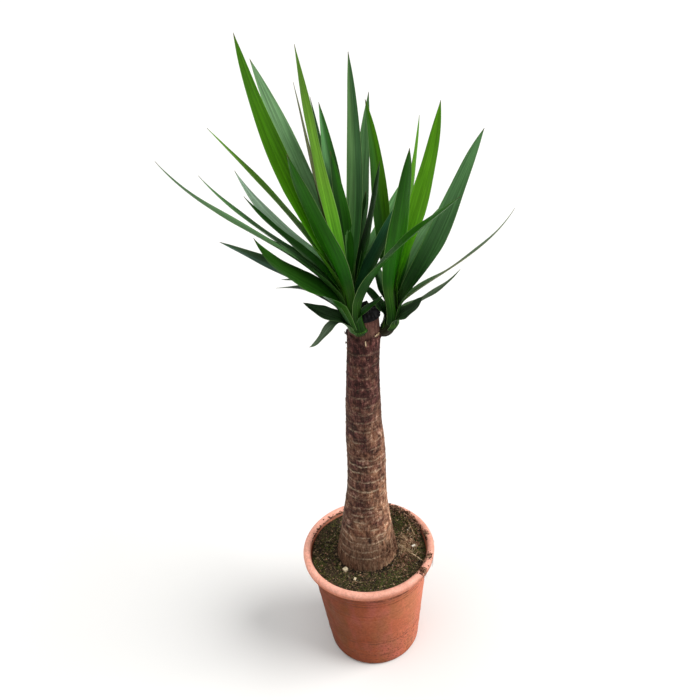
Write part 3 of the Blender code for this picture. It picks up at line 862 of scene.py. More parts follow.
lay_roots()
tangle("fibre_heap", 150, (0.077, 0.005), (0.010, 0.015), 32, root_material)
tangle("fibres_of_bark", 120, (0.066, -0.030), (0.014, 0.014), 33, rust_material, high=0.004)
tangle("loose_threads", 90, (-0.010, 0.000), (0.060, 0.060), 34, root_material, 0.0002, 0.002)

# %% [markdown]
# At the back on the right the litter lies banked up against the wall, nearly to the rim. The bank
# is a low wedge of soil. Crumbs, flakes of bark, chaff and short threads are strewn over its
# slope, thicker towards the wall, and moss grows on the lower part.

# %% Bank of litter
BANK_FIRST, BANK_LAST = 14.0, 86.0      # degrees round the pot
BANK_FOOT = 0.1065            # how far from the middle it starts
BANK_HIGH = 0.0090            # how high it climbs
BANK_SOLE = 0.004             # how deep it reaches into the soil at its foot
BANK_WALL_Z = POT_HEIGHT - 0.010        # the height at which the wall's radius is taken
BANK_WALL_GAP = 0.0008        # between the crest and the wall
BANK_PROBE = 0.1160           # beyond this radius the soil's height is read here
BANK_UNDER = 0.0006           # how far the wedge lies below its litter
BANK_STEPS, BANK_ROWS = 60, 6


def bank_point(turn, share):
    """A point on the bank, from its foot on the soil at 0 to its crest at the wall at 1."""
    crest = inner_wall_radius(BANK_WALL_Z) - BANK_WALL_GAP
    radius = BANK_FOOT + (crest - BANK_FOOT) * share
    out = outward(turn)
    place = out * min(radius, BANK_PROBE)
    soil_point = on_soil(place.x, place.y)
    along = (math.degrees(turn) - BANK_FIRST) / (BANK_LAST - BANK_FIRST)
    swell = math.sin(math.pi * clamp(along)) ** 0.6
    lump = 1.0 + 0.5 * noise.noise(out * radius * 70.0)
    return out * radius + up(soil_point.z + BANK_HIGH * swell * lump * share ** 1.2)


def bank_body():
    """The wedge itself, as a row of upright sections."""
    rings = []
    for i in range(BANK_STEPS + 1):
        turn = math.radians(BANK_FIRST + (BANK_LAST - BANK_FIRST) * i / BANK_STEPS)
        shares = [row / BANK_ROWS for row in range(BANK_ROWS + 1)]
        top = [bank_point(turn, share) - up(BANK_UNDER) for share in shares]
        low = [point - up(BANK_SOLE + BANK_HIGH * share) for point, share in zip(top, shares)]
        rings.append(top + low[::-1])
    return new_piece("litter_bank", loft(rings), crumb_material)


def bank_crumbs(name, finish, count, sizes, seed):
    draw, templates, bed = random.Random(seed), crumb_templates(seed, 0.6), bmesh.new()
    for _ in range(count):
        turn = math.radians(draw.uniform(BANK_FIRST + 2.0, BANK_LAST - 2.0))
        size = draw.uniform(*sizes)
        place = bank_point(turn, draw.random() ** 0.45) + up(size * draw.random() * 0.6)
        toss_crumb(bed, templates, place, size, draw)
    return new_piece(name, bed, finish)


def bank_moss(count, seed):
    draw, templates, bed = random.Random(seed), tuft_templates(seed), bmesh.new()
    for _ in range(count):
        turn = math.radians(draw.uniform(BANK_FIRST + 2.0, BANK_LAST - 2.0))
        place = bank_point(turn, draw.random() * 0.75)
        matrix = tossed(place, draw.uniform(0.0022, 0.0040), draw, 0.3)
        add_copy(bed, templates[draw.randrange(KINDS)], matrix)
    return new_piece("bank_moss", bed, moss_material, sharp_degrees=80.0)


def bank_threads(count, seed):
    draw, bed = random.Random(seed), bmesh.new()
    for _ in range(count):
        turn = math.radians(draw.uniform(BANK_FIRST + 6.0, BANK_LAST - 8.0))
        share = draw.uniform(0.0, 0.9)
        sway, climbed = draw.uniform(-0.12, 0.12), draw.uniform(-0.4, 0.4)
        hump = draw.uniform(0.0004, 0.0022)
        path = []
        for i in range(6):
            step = i / 5
            climb = clamp(share + climbed * step)
            lift = 0.0004 + hump * math.sin(math.pi * step)
            path.append(bank_point(turn + sway * step, climb) + up(lift))
        strand(bed, path, draw.uniform(0.00025, 0.00050), 3)
    return new_piece("bank_threads", bed, root_material)


bank_body()
bank_crumbs("bank_bark", rust_material, 430, (0.0008, 0.0022), 51)
bank_crumbs("bank_soil", crumb_material, 500, (0.0008, 0.0022), 52)
bank_crumbs("bank_chaff", root_material, 70, (0.0007, 0.0018), 54)
bank_moss(330, 55)
bank_threads(70, 53)

# %% [markdown]
# On the right some soil was spilled over the rim when the plant was potted, and it clings there
# with a few root ends that hang over the edge. Crumbs are heaped at the places where the
# photograph shows them, on the rolled rim and along its inner edge.

# %% Soil on the rim
RIM_SPILLS = (                # angle round the pot and spread in degrees, count, how far out
    (-38, 3.5, 90, 0.35), (-20, 3.0, 70, 0.1), (-26, 8.0, 20, -0.6), (9, 4.5, 90, -0.8),
    (22, 6.0, 30, -1.0), (34, 6.0, 60, -0.9), (45, 7.0, 110, -0.7), (57, 7.0, 150, -0.6),
    (68, 6.0, 130, -0.6), (79, 5.0, 80, -0.7), (118, 16.0, 60, -1.2), (150, 12.0, 40, -1.2),
)
RIM_ROOTS = ((-40, 7), (-36, 6), (-21, 4), (3, 3))      # angle in degrees, count
ROOT_DROP = 0.016             # how far a root of full length hangs below the rim


def on_rim(angle, across):
    """A point on the rolled rim, from -1 at its inner edge to 1 at its outer edge."""
    turn = math.radians(90.0 - across * 80.0)
    radius = RIM_RADIUS - BEAD + BEAD * math.cos(turn)
    return outward(angle) * radius + up(POT_HEIGHT - BEAD + BEAD * math.sin(turn))


def spill_on_rim(name, finish, share, seed, sizes):
    draw, templates, bed = random.Random(seed), crumb_templates(seed, 0.7), bmesh.new()
    for angle, width, count, across in RIM_SPILLS:
        for _ in range(int(count * share)):
            turn = math.radians(angle + draw.gauss(0, width * 0.6))
            place = on_rim(turn, clamp(draw.gauss(across, 0.3), -1.1, 0.95))
            size = draw.uniform(*sizes)
            lift = draw.random() ** 2 * 0.0034 * math.exp(-draw.random() * 2)
            matrix = tossed(place + up(lift), size, draw)
            add_copy(bed, templates[draw.randrange(KINDS)], matrix)
    return new_piece(name, bed, finish)


def hang_roots(seed):
    draw, bed = random.Random(seed), bmesh.new()
    for angle, count in RIM_ROOTS:
        for _ in range(count):
            turn = math.radians(angle + draw.gauss(0, 1.6))
            drop = draw.uniform(0.4, 1.25)
            path = [on_rim(turn + draw.uniform(-0.01, 0.01), across)
                    for across in (-0.5, 0.1, 0.6, 1.0)]
            out = outward(turn)
            low = path[-1]
            for i in range(1, 4):
                path.append(low - up(ROOT_DROP * drop * i / 3) + out * 0.0004
                            + Vector((draw.uniform(-1, 1), draw.uniform(-1, 1), 0)) * 0.0008)
            strand(bed, path, draw.uniform(0.00022, 0.00045), 4)
    return new_piece("roots_over_rim", bed, rust_material)


spill_on_rim("rim_crumbs", rust_material, 1.0, 41, (0.0009, 0.0024))
spill_on_rim("rim_soil", crumb_material, 0.45, 42, (0.0008, 0.0020))
hang_roots(43)

# %% [markdown]
# ## The cane
# A yucca cane is thick at its foot and keeps the scars of its old leaves as pale, slightly raised
# rings. Between the rings the bark cracks into small upright plates. The body is a spun line with
# two hundred columns, and every point then moves in or out by what the scars, cracks and slow
# swellings ask for at its height and angle. The same numbers are kept as attributes, so the
# colours follow the relief exactly.

# %% Cane form
CANE = (                      # height, sideways place and radius in centimetres
    (25.0, -0.30, 6.10), (26.6, -0.25, 5.80), (29.0, -0.15, 5.40), (32.3, 0.00, 4.95),
    (37.6, 0.25, 4.15), (41.0, 0.55, 3.85), (45.2, 0.80, 3.72), (49.5, 1.00, 3.68),
    (53.8, 1.00, 3.60), (56.8, 1.00, 3.32), (60.6, 1.10, 3.25), (64.5, 1.30, 3.05),
    (69.5, 1.60, 2.95), (73.0, 1.90, 2.92), (75.4, 2.10, 2.98), (78.8, 2.20, 2.78),
)
CANE_TOP = 0.788
CANE_FINE_Z = 0.232           # below this the cane is in the soil and has few rows of points
CANE_STEPS = 200
CANE_ROWS = 290
CANE_BURIED_Z = 0.200         # one of those few rows
EASING = 0.010                # how far up and down the corners between the rows are eased
FRINGE_Z = 0.7530             # the rough bark ends here, and smooth young wood goes on


def cane_linear(height):
    rows = [(z * CM, x * CM, r * CM) for z, x, r in CANE]
    if height <= rows[0][0]:
        return rows[0][1], rows[0][2]
    for low, high in zip(rows, rows[1:]):
        if height <= high[0]:
            share = (height - low[0]) / (high[0] - low[0])
            return tuple(low[i] + (high[i] - low[i]) * share for i in (1, 2))
    return rows[-1][1], rows[-1][2]


def cane_at(height):
    """Sideways place and radius of the cane, with the corners between the rows eased."""
    near = [cane_linear(height + step) for step in (-EASING, 0.0, 0.0, EASING)]
    return sum(n[0] for n in near) / 4, sum(n[1] for n in near) / 4


print("cane radius at the soil and at the cut:", cane_at(0.25)[1], cane_at(CANE_TOP)[1])

# %% [markdown]
# The heights of the strongest scars are read from the photograph. Fainter ones in between and the
# way each ring wavers and breaks off come from seeded noise.

# %% Scars, cracks and fringe
SCAR_HEIGHTS = (27.2, 28.8, 30.6, 32.0, 33.8, 35.4, 37.1, 38.9, 41.0, 42.9, 45.1, 47.2, 48.8, 50.3,
                52.6, 54.4, 56.6, 58.5, 60.3, 61.9, 63.8, 65.5, 67.8, 70.2, 72.5)
FAINT_SHARES = (0.36, 0.68)   # where faint scars lie between two strong ones
LIP_WIDTH = 0.0013
GROOVE_ABOVE, GROOVE_WIDTH = 0.0030, 0.0016
PLATE_WIDTH = 0.0085          # between two upright cracks
MEAN_RADIUS = 0.035


def scar_rows(seed):
    """Height, force, tilt and the side it is tilted to, for each scar."""
    draw = random.Random(seed)
    rows = [(z * CM, draw.uniform(0.75, 1.0), draw.uniform(-2, 2) * MM, draw.uniform(0, math.tau))
            for z in SCAR_HEIGHTS]
    for low, high in zip(SCAR_HEIGHTS, SCAR_HEIGHTS[1:]):
        for share in FAINT_SHARES:
            rows.append(((low + (high - low) * share) * CM, draw.uniform(0.0, 0.32),
                         draw.uniform(-3, 3) * MM, draw.uniform(0, math.tau)))
    return sorted(rows)


SCARS = scar_rows(51)


def scar_at(angle, height):
    """How much of a pale scar is here, and how much of the groove above it."""
    around = outward(angle)
    lip, groove = 0.0, 0.0
    for place, force, tilt, phase in SCARS:
        if abs(height - place) > 0.010:
            continue
        waver = 0.0024 * noise.noise(around * 3.5 + up(place * 61.0))
        waver += 0.0012 * noise.noise(around * 13.0 + up(place * 97.0))
        above = height - place - waver - tilt * math.cos(angle - phase)
        lasting = 0.55 + 1.1 * noise.noise(around * 2.6 + up(place * 173.0))
        lasting += 0.5 * noise.noise(around * 9.0 + up(place * 311.0))
        force *= clamp(lasting, 0.05)
        lip = max(lip, force * math.exp(-(above / LIP_WIDTH) ** 2))
        groove = max(groove, force * math.exp(-((above - GROOVE_ABOVE) / GROOVE_WIDTH) ** 2))
    return lip, groove


def crack_at(angle, height):
    """How deep an upright crack is here. The cracks shift sideways at each strong scar."""
    around = outward(angle)
    level = sum(1 for place, force, _, _ in SCARS if place < height and force > 0.5)
    wander = noise.noise(around * 4.0 + up(height * 30.0)) * 0.6
    across = angle * MEAN_RADIUS / PLATE_WIDTH + level * 0.37 + wander
    near = abs(across - round(across))
    lasting = 0.35 + 0.9 * noise.noise(around * 7.0 + up(height * 55.0))
    return math.exp(-(near / 0.09) ** 2) * clamp(lasting)


def fringe_height(angle):
    around = outward(angle)
    ragged = noise.noise(around * 2.2) * 0.006 + noise.noise(around * 9.0) * 0.004
    return FRINGE_Z + ragged


print(len(SCARS), "scars on the cane")

# %% [markdown]
# Three single marks show on the bark: a torn gash, a small nick above it and a long split under
# the shoots. Each is a soft dent at an angle and a height. Then the spun line is shaped.

# %% Cane shape
GASH = (33, 0.517, 0.0055, 0.0030)      # degrees to the right of the front, height, width, length
NICK = (14, 0.657, 0.0030, 0.0016)
SPLIT = (9, 0.748, 0.0010, 0.0120)
GASH_DEPTH, NICK_DEPTH, SPLIT_DEPTH = 0.0022, 0.0012, 0.0008
SWELL_HIGH, LIP_HIGH = 0.0010, 0.0011   # how far swellings and scars stand out
GROOVE_DEPTH, CRACK_DEPTH = 0.0009, 0.0009
YOUNG_STEP = 0.0015           # how much thinner the smooth young wood is
STRING_HIGH = 0.00025         # how far the strings of the bark stand out
FOOT_STRING_HIGH = 0.0007     # and how much further at the foot


def near_mark(mark, angle, height, radius):
    turned_right, place, wide, tall = mark
    away = (angle - math.radians(turned_right - 90) + math.pi) % math.tau - math.pi
    return math.exp(-(away * radius / wide) ** 2 - ((height - place) / tall) ** 2)


def cane_shape():
    rise = CANE_TOP - CANE_FINE_Z
    heights = [CANE_FOOT_Z, CANE_BURIED_Z]
    heights += [CANE_FINE_Z + rise * i / CANE_ROWS for i in range(CANE_ROWS + 1)]
    shape = turned([(0.0, CANE_FOOT_Z)] + [(1.0, z) for z in heights] + [(0.0, CANE_TOP)],
                   CANE_STEPS)
    layers = {name: shape.verts.layers.float.new(name)
              for name in ("scar", "crack", "young", "fibre")}
    for vert in shape.verts:
        height = vert.co.z
        centre, radius = cane_at(height)
        if math.hypot(vert.co.x, vert.co.y) < 0.5:
            vert.co = (centre, 0.0, height)
            vert[layers["young"]] = 1.0
            continue
        angle = math.atan2(vert.co.y, vert.co.x)
        around = outward(angle)
        young = 1.0 if height > fringe_height(angle) else 0.0
        lip, groove = scar_at(angle, height)
        crack = crack_at(angle, height)
        gash, nick, split = (near_mark(mark, angle, height, radius)
                             for mark in (GASH, NICK, SPLIT))
        fibre = noise.noise(around * radius * 800.0 + up(height * 45.0))
        foot = clamp((0.33 - height) / 0.06)
        slow = noise.noise(around * 1.6 + up(height * 11.0))
        if young:
            radius -= YOUNG_STEP
            lip, groove, crack = 0.0, 0.0, crack * 0.3
        radius += SWELL_HIGH * slow + LIP_HIGH * lip - GROOVE_DEPTH * groove - CRACK_DEPTH * crack
        radius += fibre * (STRING_HIGH + FOOT_STRING_HIGH * foot)
        radius -= GASH_DEPTH * gash + NICK_DEPTH * nick + SPLIT_DEPTH * split
        vert.co = (centre + radius * math.cos(angle), radius * math.sin(angle), height)
        vert[layers["scar"]] = lip
        vert[layers["crack"]] = min(1.0, crack + groove * 0.35 + gash + nick + split * 0.6)
        vert[layers["young"]] = young
        vert[layers["fibre"]] = foot
    bmesh.ops.recalc_face_normals(shape, faces=shape.faces)
    return shape


print("cane shape is ready, with", CANE_ROWS, "rows of", CANE_STEPS, "points")

# %% [markdown]
# The bark is red-brown to purple-brown, tan where it is worn, and paler and stringier at the foot;
# its right side is painted lighter and more tan, as painted light.
# Stretching a noise along the cane gives the upright strings, and the kept attributes paint the
# pale scars, the dark cracks and the redder young wood under the cut. Each function lays one kind
# of colour over the ones before it.

# %% Colour of the bark
def kept(tree, name):
    """A number that the cane keeps on each of its points."""
    return add_node(tree, "Attribute", attribute_name=name).outputs["Fac"]


def rough_bark(tree, place, mottle, low, right):
    """Maroon bark high up, and tan bark where it is worn low down and as painted light on the right.
    """
    maroon = ramp(tree, mottle, ((0.34, (0.009, 0.003, 0.003)), (0.46, (0.048, 0.015, 0.013)),
                                 (0.57, (0.104, 0.035, 0.031)), (0.68, (0.310, 0.165, 0.125))))
    tan = ramp(tree, mottle, ((0.34, (0.030, 0.010, 0.006)), (0.45, (0.110, 0.043, 0.024)),
                              (0.56, (0.240, 0.122, 0.070)), (0.67, (0.580, 0.410, 0.300))))
    # tan where the bark is worn low down, and tan on the right as painted light
    wear_and_painted_light = add_node(tree, "Math", {0: product(tree, low, 0.62), 1: product(tree, right, 0.40)},
                    operation="ADD").outputs[0]
    patch = spread(tree, cloud(tree, place, 30.0, 5.0, 0.6), 0.36, 0.64, -0.45, 0.45)
    wear_and_painted_light = add_node(tree, "Math", {0: wear_and_painted_light, 1: patch}, operation="ADD", use_clamp=True).outputs[0]
    return blend(tree, wear_and_painted_light, maroon, tan)


def stringy_bark_with_painted_light(tree, base, place, stringy, right):
    """Upright strings and slow blotches, with a paler foot and painted light on the right side."""
    strings = cloud(tree, stringy, 520.0, 5.0, 0.7)
    base = shaded(tree, base, spread(tree, strings, 0.34, 0.66, 0.58, 1.45))
    blotch = cloud(tree, place, 62.0, 5.0, 0.65)
    base = shaded(tree, base, spread(tree, blotch, 0.36, 0.64, 0.62, 1.40))
    foot = ramp(tree, cloud(tree, stringy, 300.0, 5.0, 0.75),
                ((0.32, (0.060, 0.030, 0.017)), (0.50, (0.180, 0.100, 0.058)),
                 (0.68, (0.430, 0.300, 0.190))))
    base = blend(tree, product(tree, kept(tree, "fibre"), 0.7), base, foot)
    # painted light on the right side of the cane
    return shaded(tree, base, spread(tree, right, 0.0, 1.0, 0.92, 1.80))


def marked_bark(tree, base, place, stringy, height):
    """Young wood, pale scars, flecks and dark cracks, painted where the cane keeps them."""
    young = ramp(tree, cloud(tree, stringy, 230.0, 5.0, 0.75),
                 ((0.34, (0.030, 0.011, 0.009)), (0.50, (0.105, 0.046, 0.034)),
                  (0.64, (0.260, 0.150, 0.100))))
    base = blend(tree, product(tree, kept(tree, "young"), 0.55), base, young)
    broken = spread(tree, cloud(tree, place, 200.0, 5.0, 0.75), 0.38, 0.56, 0.10, 1.0)
    pale = product(tree, spread(tree, height, 0.66, 0.46, 0.35, 1.10), broken)
    base = blend(tree, product(tree, kept(tree, "scar"), pale), base, (0.560, 0.430, 0.290))
    flecks = spread(tree, cloud(tree, place, 430.0, 4.0, 0.7), 0.62, 0.70)
    base = blend(tree, product(tree, flecks, 0.55), base, (0.480, 0.360, 0.240))
    return blend(tree, product(tree, kept(tree, "crack"), 0.90), base, (0.016, 0.006, 0.005))


print("three layers of bark colour are ready")

# %% [markdown]
# The height decides where each colour goes, and the right side is painted lighter as painted light.
# Fine strings and coarser lumps give the bump, on top of the relief that the cane already has.

# %% Bark finish
def bark_finish():
    made, tree, shader = new_finish("bark", 0.85)
    place = object_place(tree)
    stringy = object_place(tree, (1.0, 1.0, 0.06))
    height = coordinate(tree, place, 2)
    low = spread(tree, height, 0.66, 0.40)
    # the right side of the cane, where light is painted
    right = spread(tree, coordinate(tree, place, 0), 0.005, 0.045)
    right = product(tree, right, spread(tree, low, 0.1, 0.9))
    mottle = cloud(tree, object_place(tree, (1.0, 1.0, 0.62)), 130.0, 7.0, 0.74)
    base = rough_bark(tree, place, mottle, low, right)
    base = stringy_bark_with_painted_light(tree, base, place, stringy, right)
    coat(tree, shader, marked_bark(tree, base, place, stringy, height), 0.15)
    grain = blend(tree, 0.5, cloud(tree, stringy, 620.0, 5.0, 0.75),
                  cloud(tree, place, 380.0, 6.0, 0.7))
    bump(tree, shader, blend(tree, 0.4, grain, mottle), 0.0020, 1.0)
    return made


bark_material = bark_finish()
new_piece("cane", cane_shape(), bark_material, "trunk", 70.0)

# %% [markdown]
# Loose bark stands off the cane where the rough part ends, and stringy fibres run down into the
# soil at the foot. A flake is a small bent plate, and a fibre is a thread that hugs the surface.

# %% Bark flakes and threads
FLAKES = (                    # degrees to the right of the front, height, width and length in mm, lean
    (-84, 0.7390, 5, 8, 0.40), (-86, 0.7560, 6, 9, 0.55), (-52, 0.7555, 12, 9, 0.14),
    (-20, 0.7535, 14, 8, 0.10), (8, 0.7520, 13, 9, 0.12), (34, 0.7545, 13, 9, 0.12),
    (58, 0.7535, 10, 9, 0.20), (80, 0.7515, 8, 10, 0.42), (110, 0.7535, 11, 9, 0.22),
    (140, 0.7515, 12, 9, 0.15), (168, 0.7545, 13, 8, 0.14), (-162, 0.7555, 12, 9, 0.15),
    (-135, 0.7515, 11, 9, 0.20), (-108, 0.7535, 10, 10, 0.25), (85, 0.7460, 6, 8, 0.50),
    (70, 0.5700, 6, 5, 0.16), (-60, 0.4820, 7, 5, 0.12), (28, 0.5130, 9, 7, 0.14),
    (150, 0.6100, 8, 6, 0.14), (-150, 0.5300, 8, 6, 0.12),
)
PALE_FLAKES = (
    (50, 0.7580, 13, 9, 0.22), (4, 0.7470, 2, 13, 0.05), (-30, 0.7440, 3, 7, 0.06),
)
FLAKE_THICK = 0.0006
THREAD_POINTS = 6


def add_flake(bed, row, draw):
    turned_right, height, wide, tall, lean = row
    turn = math.radians(turned_right - 90)
    centre, radius = cane_at(height)
    shape = bmesh.new()
    bmesh.ops.create_grid(shape, x_segments=6, y_segments=3, size=0.5)
    for vert in shape.verts:
        across, climb = vert.co.x, vert.co.y + 0.5
        ragged = 1.0 - 0.45 * abs(draw.gauss(0, 0.8)) * climb
        side = turn + across * wide * MM / radius
        out = radius - FLAKE_THICK + lean * climb * tall * MM * 0.8
        vert.co = (centre + out * math.cos(side), out * math.sin(side),
                   height - 0.004 + climb * tall * MM * ragged)
    bmesh.ops.recalc_face_normals(shape, faces=shape.faces)
    bmesh.ops.solidify(shape, geom=shape.faces[:], thickness=FLAKE_THICK)
    bmesh.ops.recalc_face_normals(shape, faces=shape.faces)
    add_copy(bed, as_mesh(shape), keep=False)


def bark_flakes(name, rows, finish, seed):
    draw, bed = random.Random(seed), bmesh.new()
    for row in rows:
        add_flake(bed, row, draw)
    return new_piece(name, bed, finish, sharp_degrees=50.0)


def bark_threads(count, seed):
    draw, bed = random.Random(seed), bmesh.new()
    for _ in range(count):
        angle = draw.uniform(-math.pi, math.pi) if draw.random() < 0.4 else draw.gauss(-0.7, 0.6)
        low = draw.uniform(0.243, 0.275)
        tall = draw.uniform(0.012, 0.050)
        path = []
        for i in range(THREAD_POINTS + 1):
            height = low + tall * i / THREAD_POINTS
            centre, radius = cane_at(height)
            out = radius + 0.0004 + 0.0010 * math.sin(math.pi * i / THREAD_POINTS)
            out += 0.0025 * max(0.0, 1.0 - (height - 0.240) / 0.012)
            angle += draw.gauss(0, 0.008)
            path.append(Vector((centre + out * math.cos(angle), out * math.sin(angle), height)))
        strand(bed, path, draw.uniform(0.00022, 0.0005), 3)
    return new_piece("bark_threads", bed, rust_material)


bark_flakes("bark_flakes", FLAKES, bark_material, 61)
bark_flakes("pale_flakes", PALE_FLAKES, root_material, 62)
bark_threads(230, 62)

# %% [markdown]
# ## The wax seal
# Growers dip the sawn top in dark wax to keep it from drying out. The wax set in a low dome with
# a drawn-out, crumpled peak. It is a spun dome whose points are pulled towards the peak, with
# folds that grow stronger near it.

# %% Wax seal
SEAL_PEAK = Vector((0.0295, -0.0020, 0.817))
WAX_COAT = 0.0005             # how much wider the wax is than the cane
BEAD_OUT, BEAD_UP = 0.0012, 0.0022      # of the rounded edge at its foot
DOME_BASE = 0.0045            # where the dome springs from
DOME_RISE = 0.0095
PEAK_RADIUS = 0.0009          # of the drawn-out peak, just below its point
PEAK_ROWS = 14
SEAL_STEPS = 96


def seal_shape():
    centre, radius = cane_linear(CANE_TOP)
    radius += WAX_COAT
    base = CANE_TOP + GAP
    profile = [(0.0, base), (radius * 0.97, base)]
    profile += [(radius + BEAD_OUT * math.sin(a), base + BEAD_UP - BEAD_UP * math.cos(a))
                for a in (0.4, 0.9, 1.5, 2.2)]
    dome = [math.radians(a) for a in range(8, 58, 5)]
    profile += [(radius * math.cos(a), base + DOME_BASE + DOME_RISE * math.sin(a)) for a in dome]
    tip = profile[-1]
    for i in range(1, PEAK_ROWS + 1):
        share = i / PEAK_ROWS
        profile.append((tip[0] * (1 - share) ** 1.15 + PEAK_RADIUS * (1 - share ** 6),
                        tip[1] + (SEAL_PEAK.z - tip[1]) * share))
    profile[-1] = (0.0, SEAL_PEAK.z)
    shape = turned(profile, SEAL_STEPS)
    for vert in shape.verts:
        height = (vert.co.z - base) / (SEAL_PEAK.z - base)
        angle = math.atan2(vert.co.y, vert.co.x)
        around = outward(angle)
        fold = noise.noise(around * 2.4 + up(height * 2.0))
        fold += 0.5 * noise.noise(around * 6.0 + up(height * 4.0))
        if vert.co.z > base + GAP:
            vert.co.x *= 1.0 + fold * (0.05 + 0.35 * height)
            vert.co.y *= 1.0 + fold * (0.05 + 0.35 * height)
            vert.co.z += 0.0016 * fold * (1.0 - height) * min(1.0, height * 6.0)
        pull = max(0.0, height - 0.3) / 0.7
        vert.co.x += centre + (SEAL_PEAK.x - centre) * pull
        vert.co.y += SEAL_PEAK.y * pull
    return shape


def wax_finish():
    made, tree, shader = new_finish("black_wax", 0.42)
    place = object_place(tree)
    base = ramp(tree, cloud(tree, place, 120.0, 5.0, 0.6),
                ((0.35, (0.0020, 0.0018, 0.0024)), (0.60, (0.0042, 0.0036, 0.0042)),
                 (0.80, (0.0160, 0.0120, 0.0120))))
    coat(tree, shader, base, 0.10)
    rough = spread(tree, cloud(tree, place, 90.0, 4.0), 0.3, 0.7, 0.40, 0.68)
    tree.links.new(rough, shader.inputs["Roughness"])
    bump(tree, shader, cloud(tree, place, 170.0, 4.0, 0.55), 0.0008, 0.4)
    return made


new_piece("wax_cap", seal_shape(), wax_finish(), "wax_seal", 60.0)

# %% [markdown]
# ## Green stems of the shoots
# Each shoot starts as a short green stem that bends up beside the cane. It is hidden below the
# clasping feet of its leaves, which show as upright ribs, so the rings of the stem are ribbed.

# %% Stem shapes
LEFT_STEM = (                 # x, y, z and radius in centimetres
    (1.90, -2.10, 76.8, 0.90), (1.20, -2.95, 77.6, 1.30), (0.50, -2.80, 79.4, 1.35),
    (0.00, -2.50, 81.8, 1.20), (-0.30, -2.20, 84.2, 0.90), (-0.40, -2.00, 86.5, 0.45),
)
RIGHT_STEM = (
    (4.40, -0.10, 75.6, 0.85), (5.85, -0.10, 75.6, 1.30), (6.80, 0.00, 76.9, 1.35),
    (7.10, 0.00, 79.0, 1.05), (7.30, 0.10, 81.5, 0.85), (7.40, 0.20, 84.0, 0.40),
)
STEM_ROWS, STEM_SIDES = 34, 44


def eased(rows, share):
    """A smooth curve through rows of numbers, from 0 at the first to 1 at the last."""
    place = share * (len(rows) - 1)
    index = min(int(place), len(rows) - 2)
    t = place - index
    before, low = rows[max(index - 1, 0)], rows[index]
    high, after = rows[index + 1], rows[min(index + 2, len(rows) - 1)]
    return [0.5 * (2 * b + (c - a) * t + (2 * a - 5 * b + 4 * c - d) * t * t
                   + (3 * b - a - 3 * c + d) * t ** 3)
            for a, b, c, d in zip(before, low, high, after)]


def stem_shape(stations, ribs, phase):
    """Rings across the curved stem, with as many ribs as asked for."""
    rings = []
    for number in range(STEM_ROWS + 1):
        share = number / STEM_ROWS
        x, y, z, radius = eased(stations, share)
        ahead = Vector(eased(stations, min(share + 0.02, 1.0))[:3])
        behind = Vector(eased(stations, max(share - 0.02, 0.0))[:3])
        along = (ahead - behind).normalized()
        across = along.cross(Vector((0, 1, 0))).normalized()
        other = along.cross(across)
        ring = []
        for i in range(STEM_SIDES):
            angle = math.tau * i / STEM_SIDES
            rib = abs(math.cos(ribs * angle / 2 + phase + share * 2.0))
            size = radius * (0.70 + 0.12 * rib) * CM
            if number == 0:
                size *= 0.7
            ring.append(Vector((x, y, z)) * CM
                        + size * (across * math.cos(angle) + other * math.sin(angle)))
        rings.append(ring)
    return loft(rings)


def stem_finish():
    made, tree, shader = new_finish("shoot_green", 0.42)
    place = object_place(tree)
    stringy = object_place(tree, (1.0, 1.0, 0.12))
    base = ramp(tree, cloud(tree, stringy, 260.0, 4.0, 0.6),
                ((0.36, (0.005, 0.018, 0.002)), (0.52, (0.014, 0.048, 0.004)),
                 (0.66, (0.075, 0.160, 0.018))))
    foot = spread(tree, coordinate(tree, place, 2), 0.7725, 0.7600)
    base = blend(tree, product(tree, foot, 0.9), base, (0.024, 0.018, 0.009))
    coat(tree, shader, base, 0.1)
    bump(tree, shader, cloud(tree, stringy, 420.0, 4.0), 0.0006, 0.6)
    return made


green_stem = stem_finish()
new_piece("left_stem", stem_shape(LEFT_STEM, 7, 0.4), green_stem, "crown_left")
new_piece("right_stem", stem_shape(RIGHT_STEM, 6, 1.1), green_stem, "crown_right")

# %% [markdown]
# ## The leaves
# A yucca leaf is a long stiff sword: narrow where it leaves the stem, widest before the middle,
# drawn out to a dry point, and folded into a shallow channel. Each leaf is listed with where it
# leaves the stem, its width and roll, and three places of its midline. Its surface starts as a
# flat grid that is wrapped into a thin, lens-shaped section, so both faces and the sharp margins
# come from one shape.

# %% Leaf table
Leaf = namedtuple("Leaf", "root width roll depth third two_thirds tip tone other_tone low high")
# Leaf colours, some with painted light in them: pale, frost, misty, steel and silver partly paint  the
# sheen of a glossy leaf, and bright partly paints light shining through a leaf.
TONES = {
    "fresh": (0.041, 0.150, 0.002), "olive": (0.085, 0.205, 0.016), "bright": (0.130, 0.410, 0.014),
    "leek": (0.024, 0.105, 0.008), "deep": (0.017, 0.104, 0.003), "dark": (0.009, 0.048, 0.004),
    "blue": (0.024, 0.100, 0.040), "steel": (0.075, 0.190, 0.060), "misty": (0.050, 0.135, 0.045),
    "sage": (0.092, 0.205, 0.065), "pale": (0.115, 0.240, 0.100), "frost": (0.098, 0.240, 0.085),
    "soot": (0.014, 0.043, 0.012), "grey": (0.105, 0.155, 0.090), "brown": (0.090, 0.105, 0.036),
    "silver": (0.400, 0.570, 0.420), "slate": (0.105, 0.205, 0.150), "ash": (0.040, 0.078, 0.034),
}
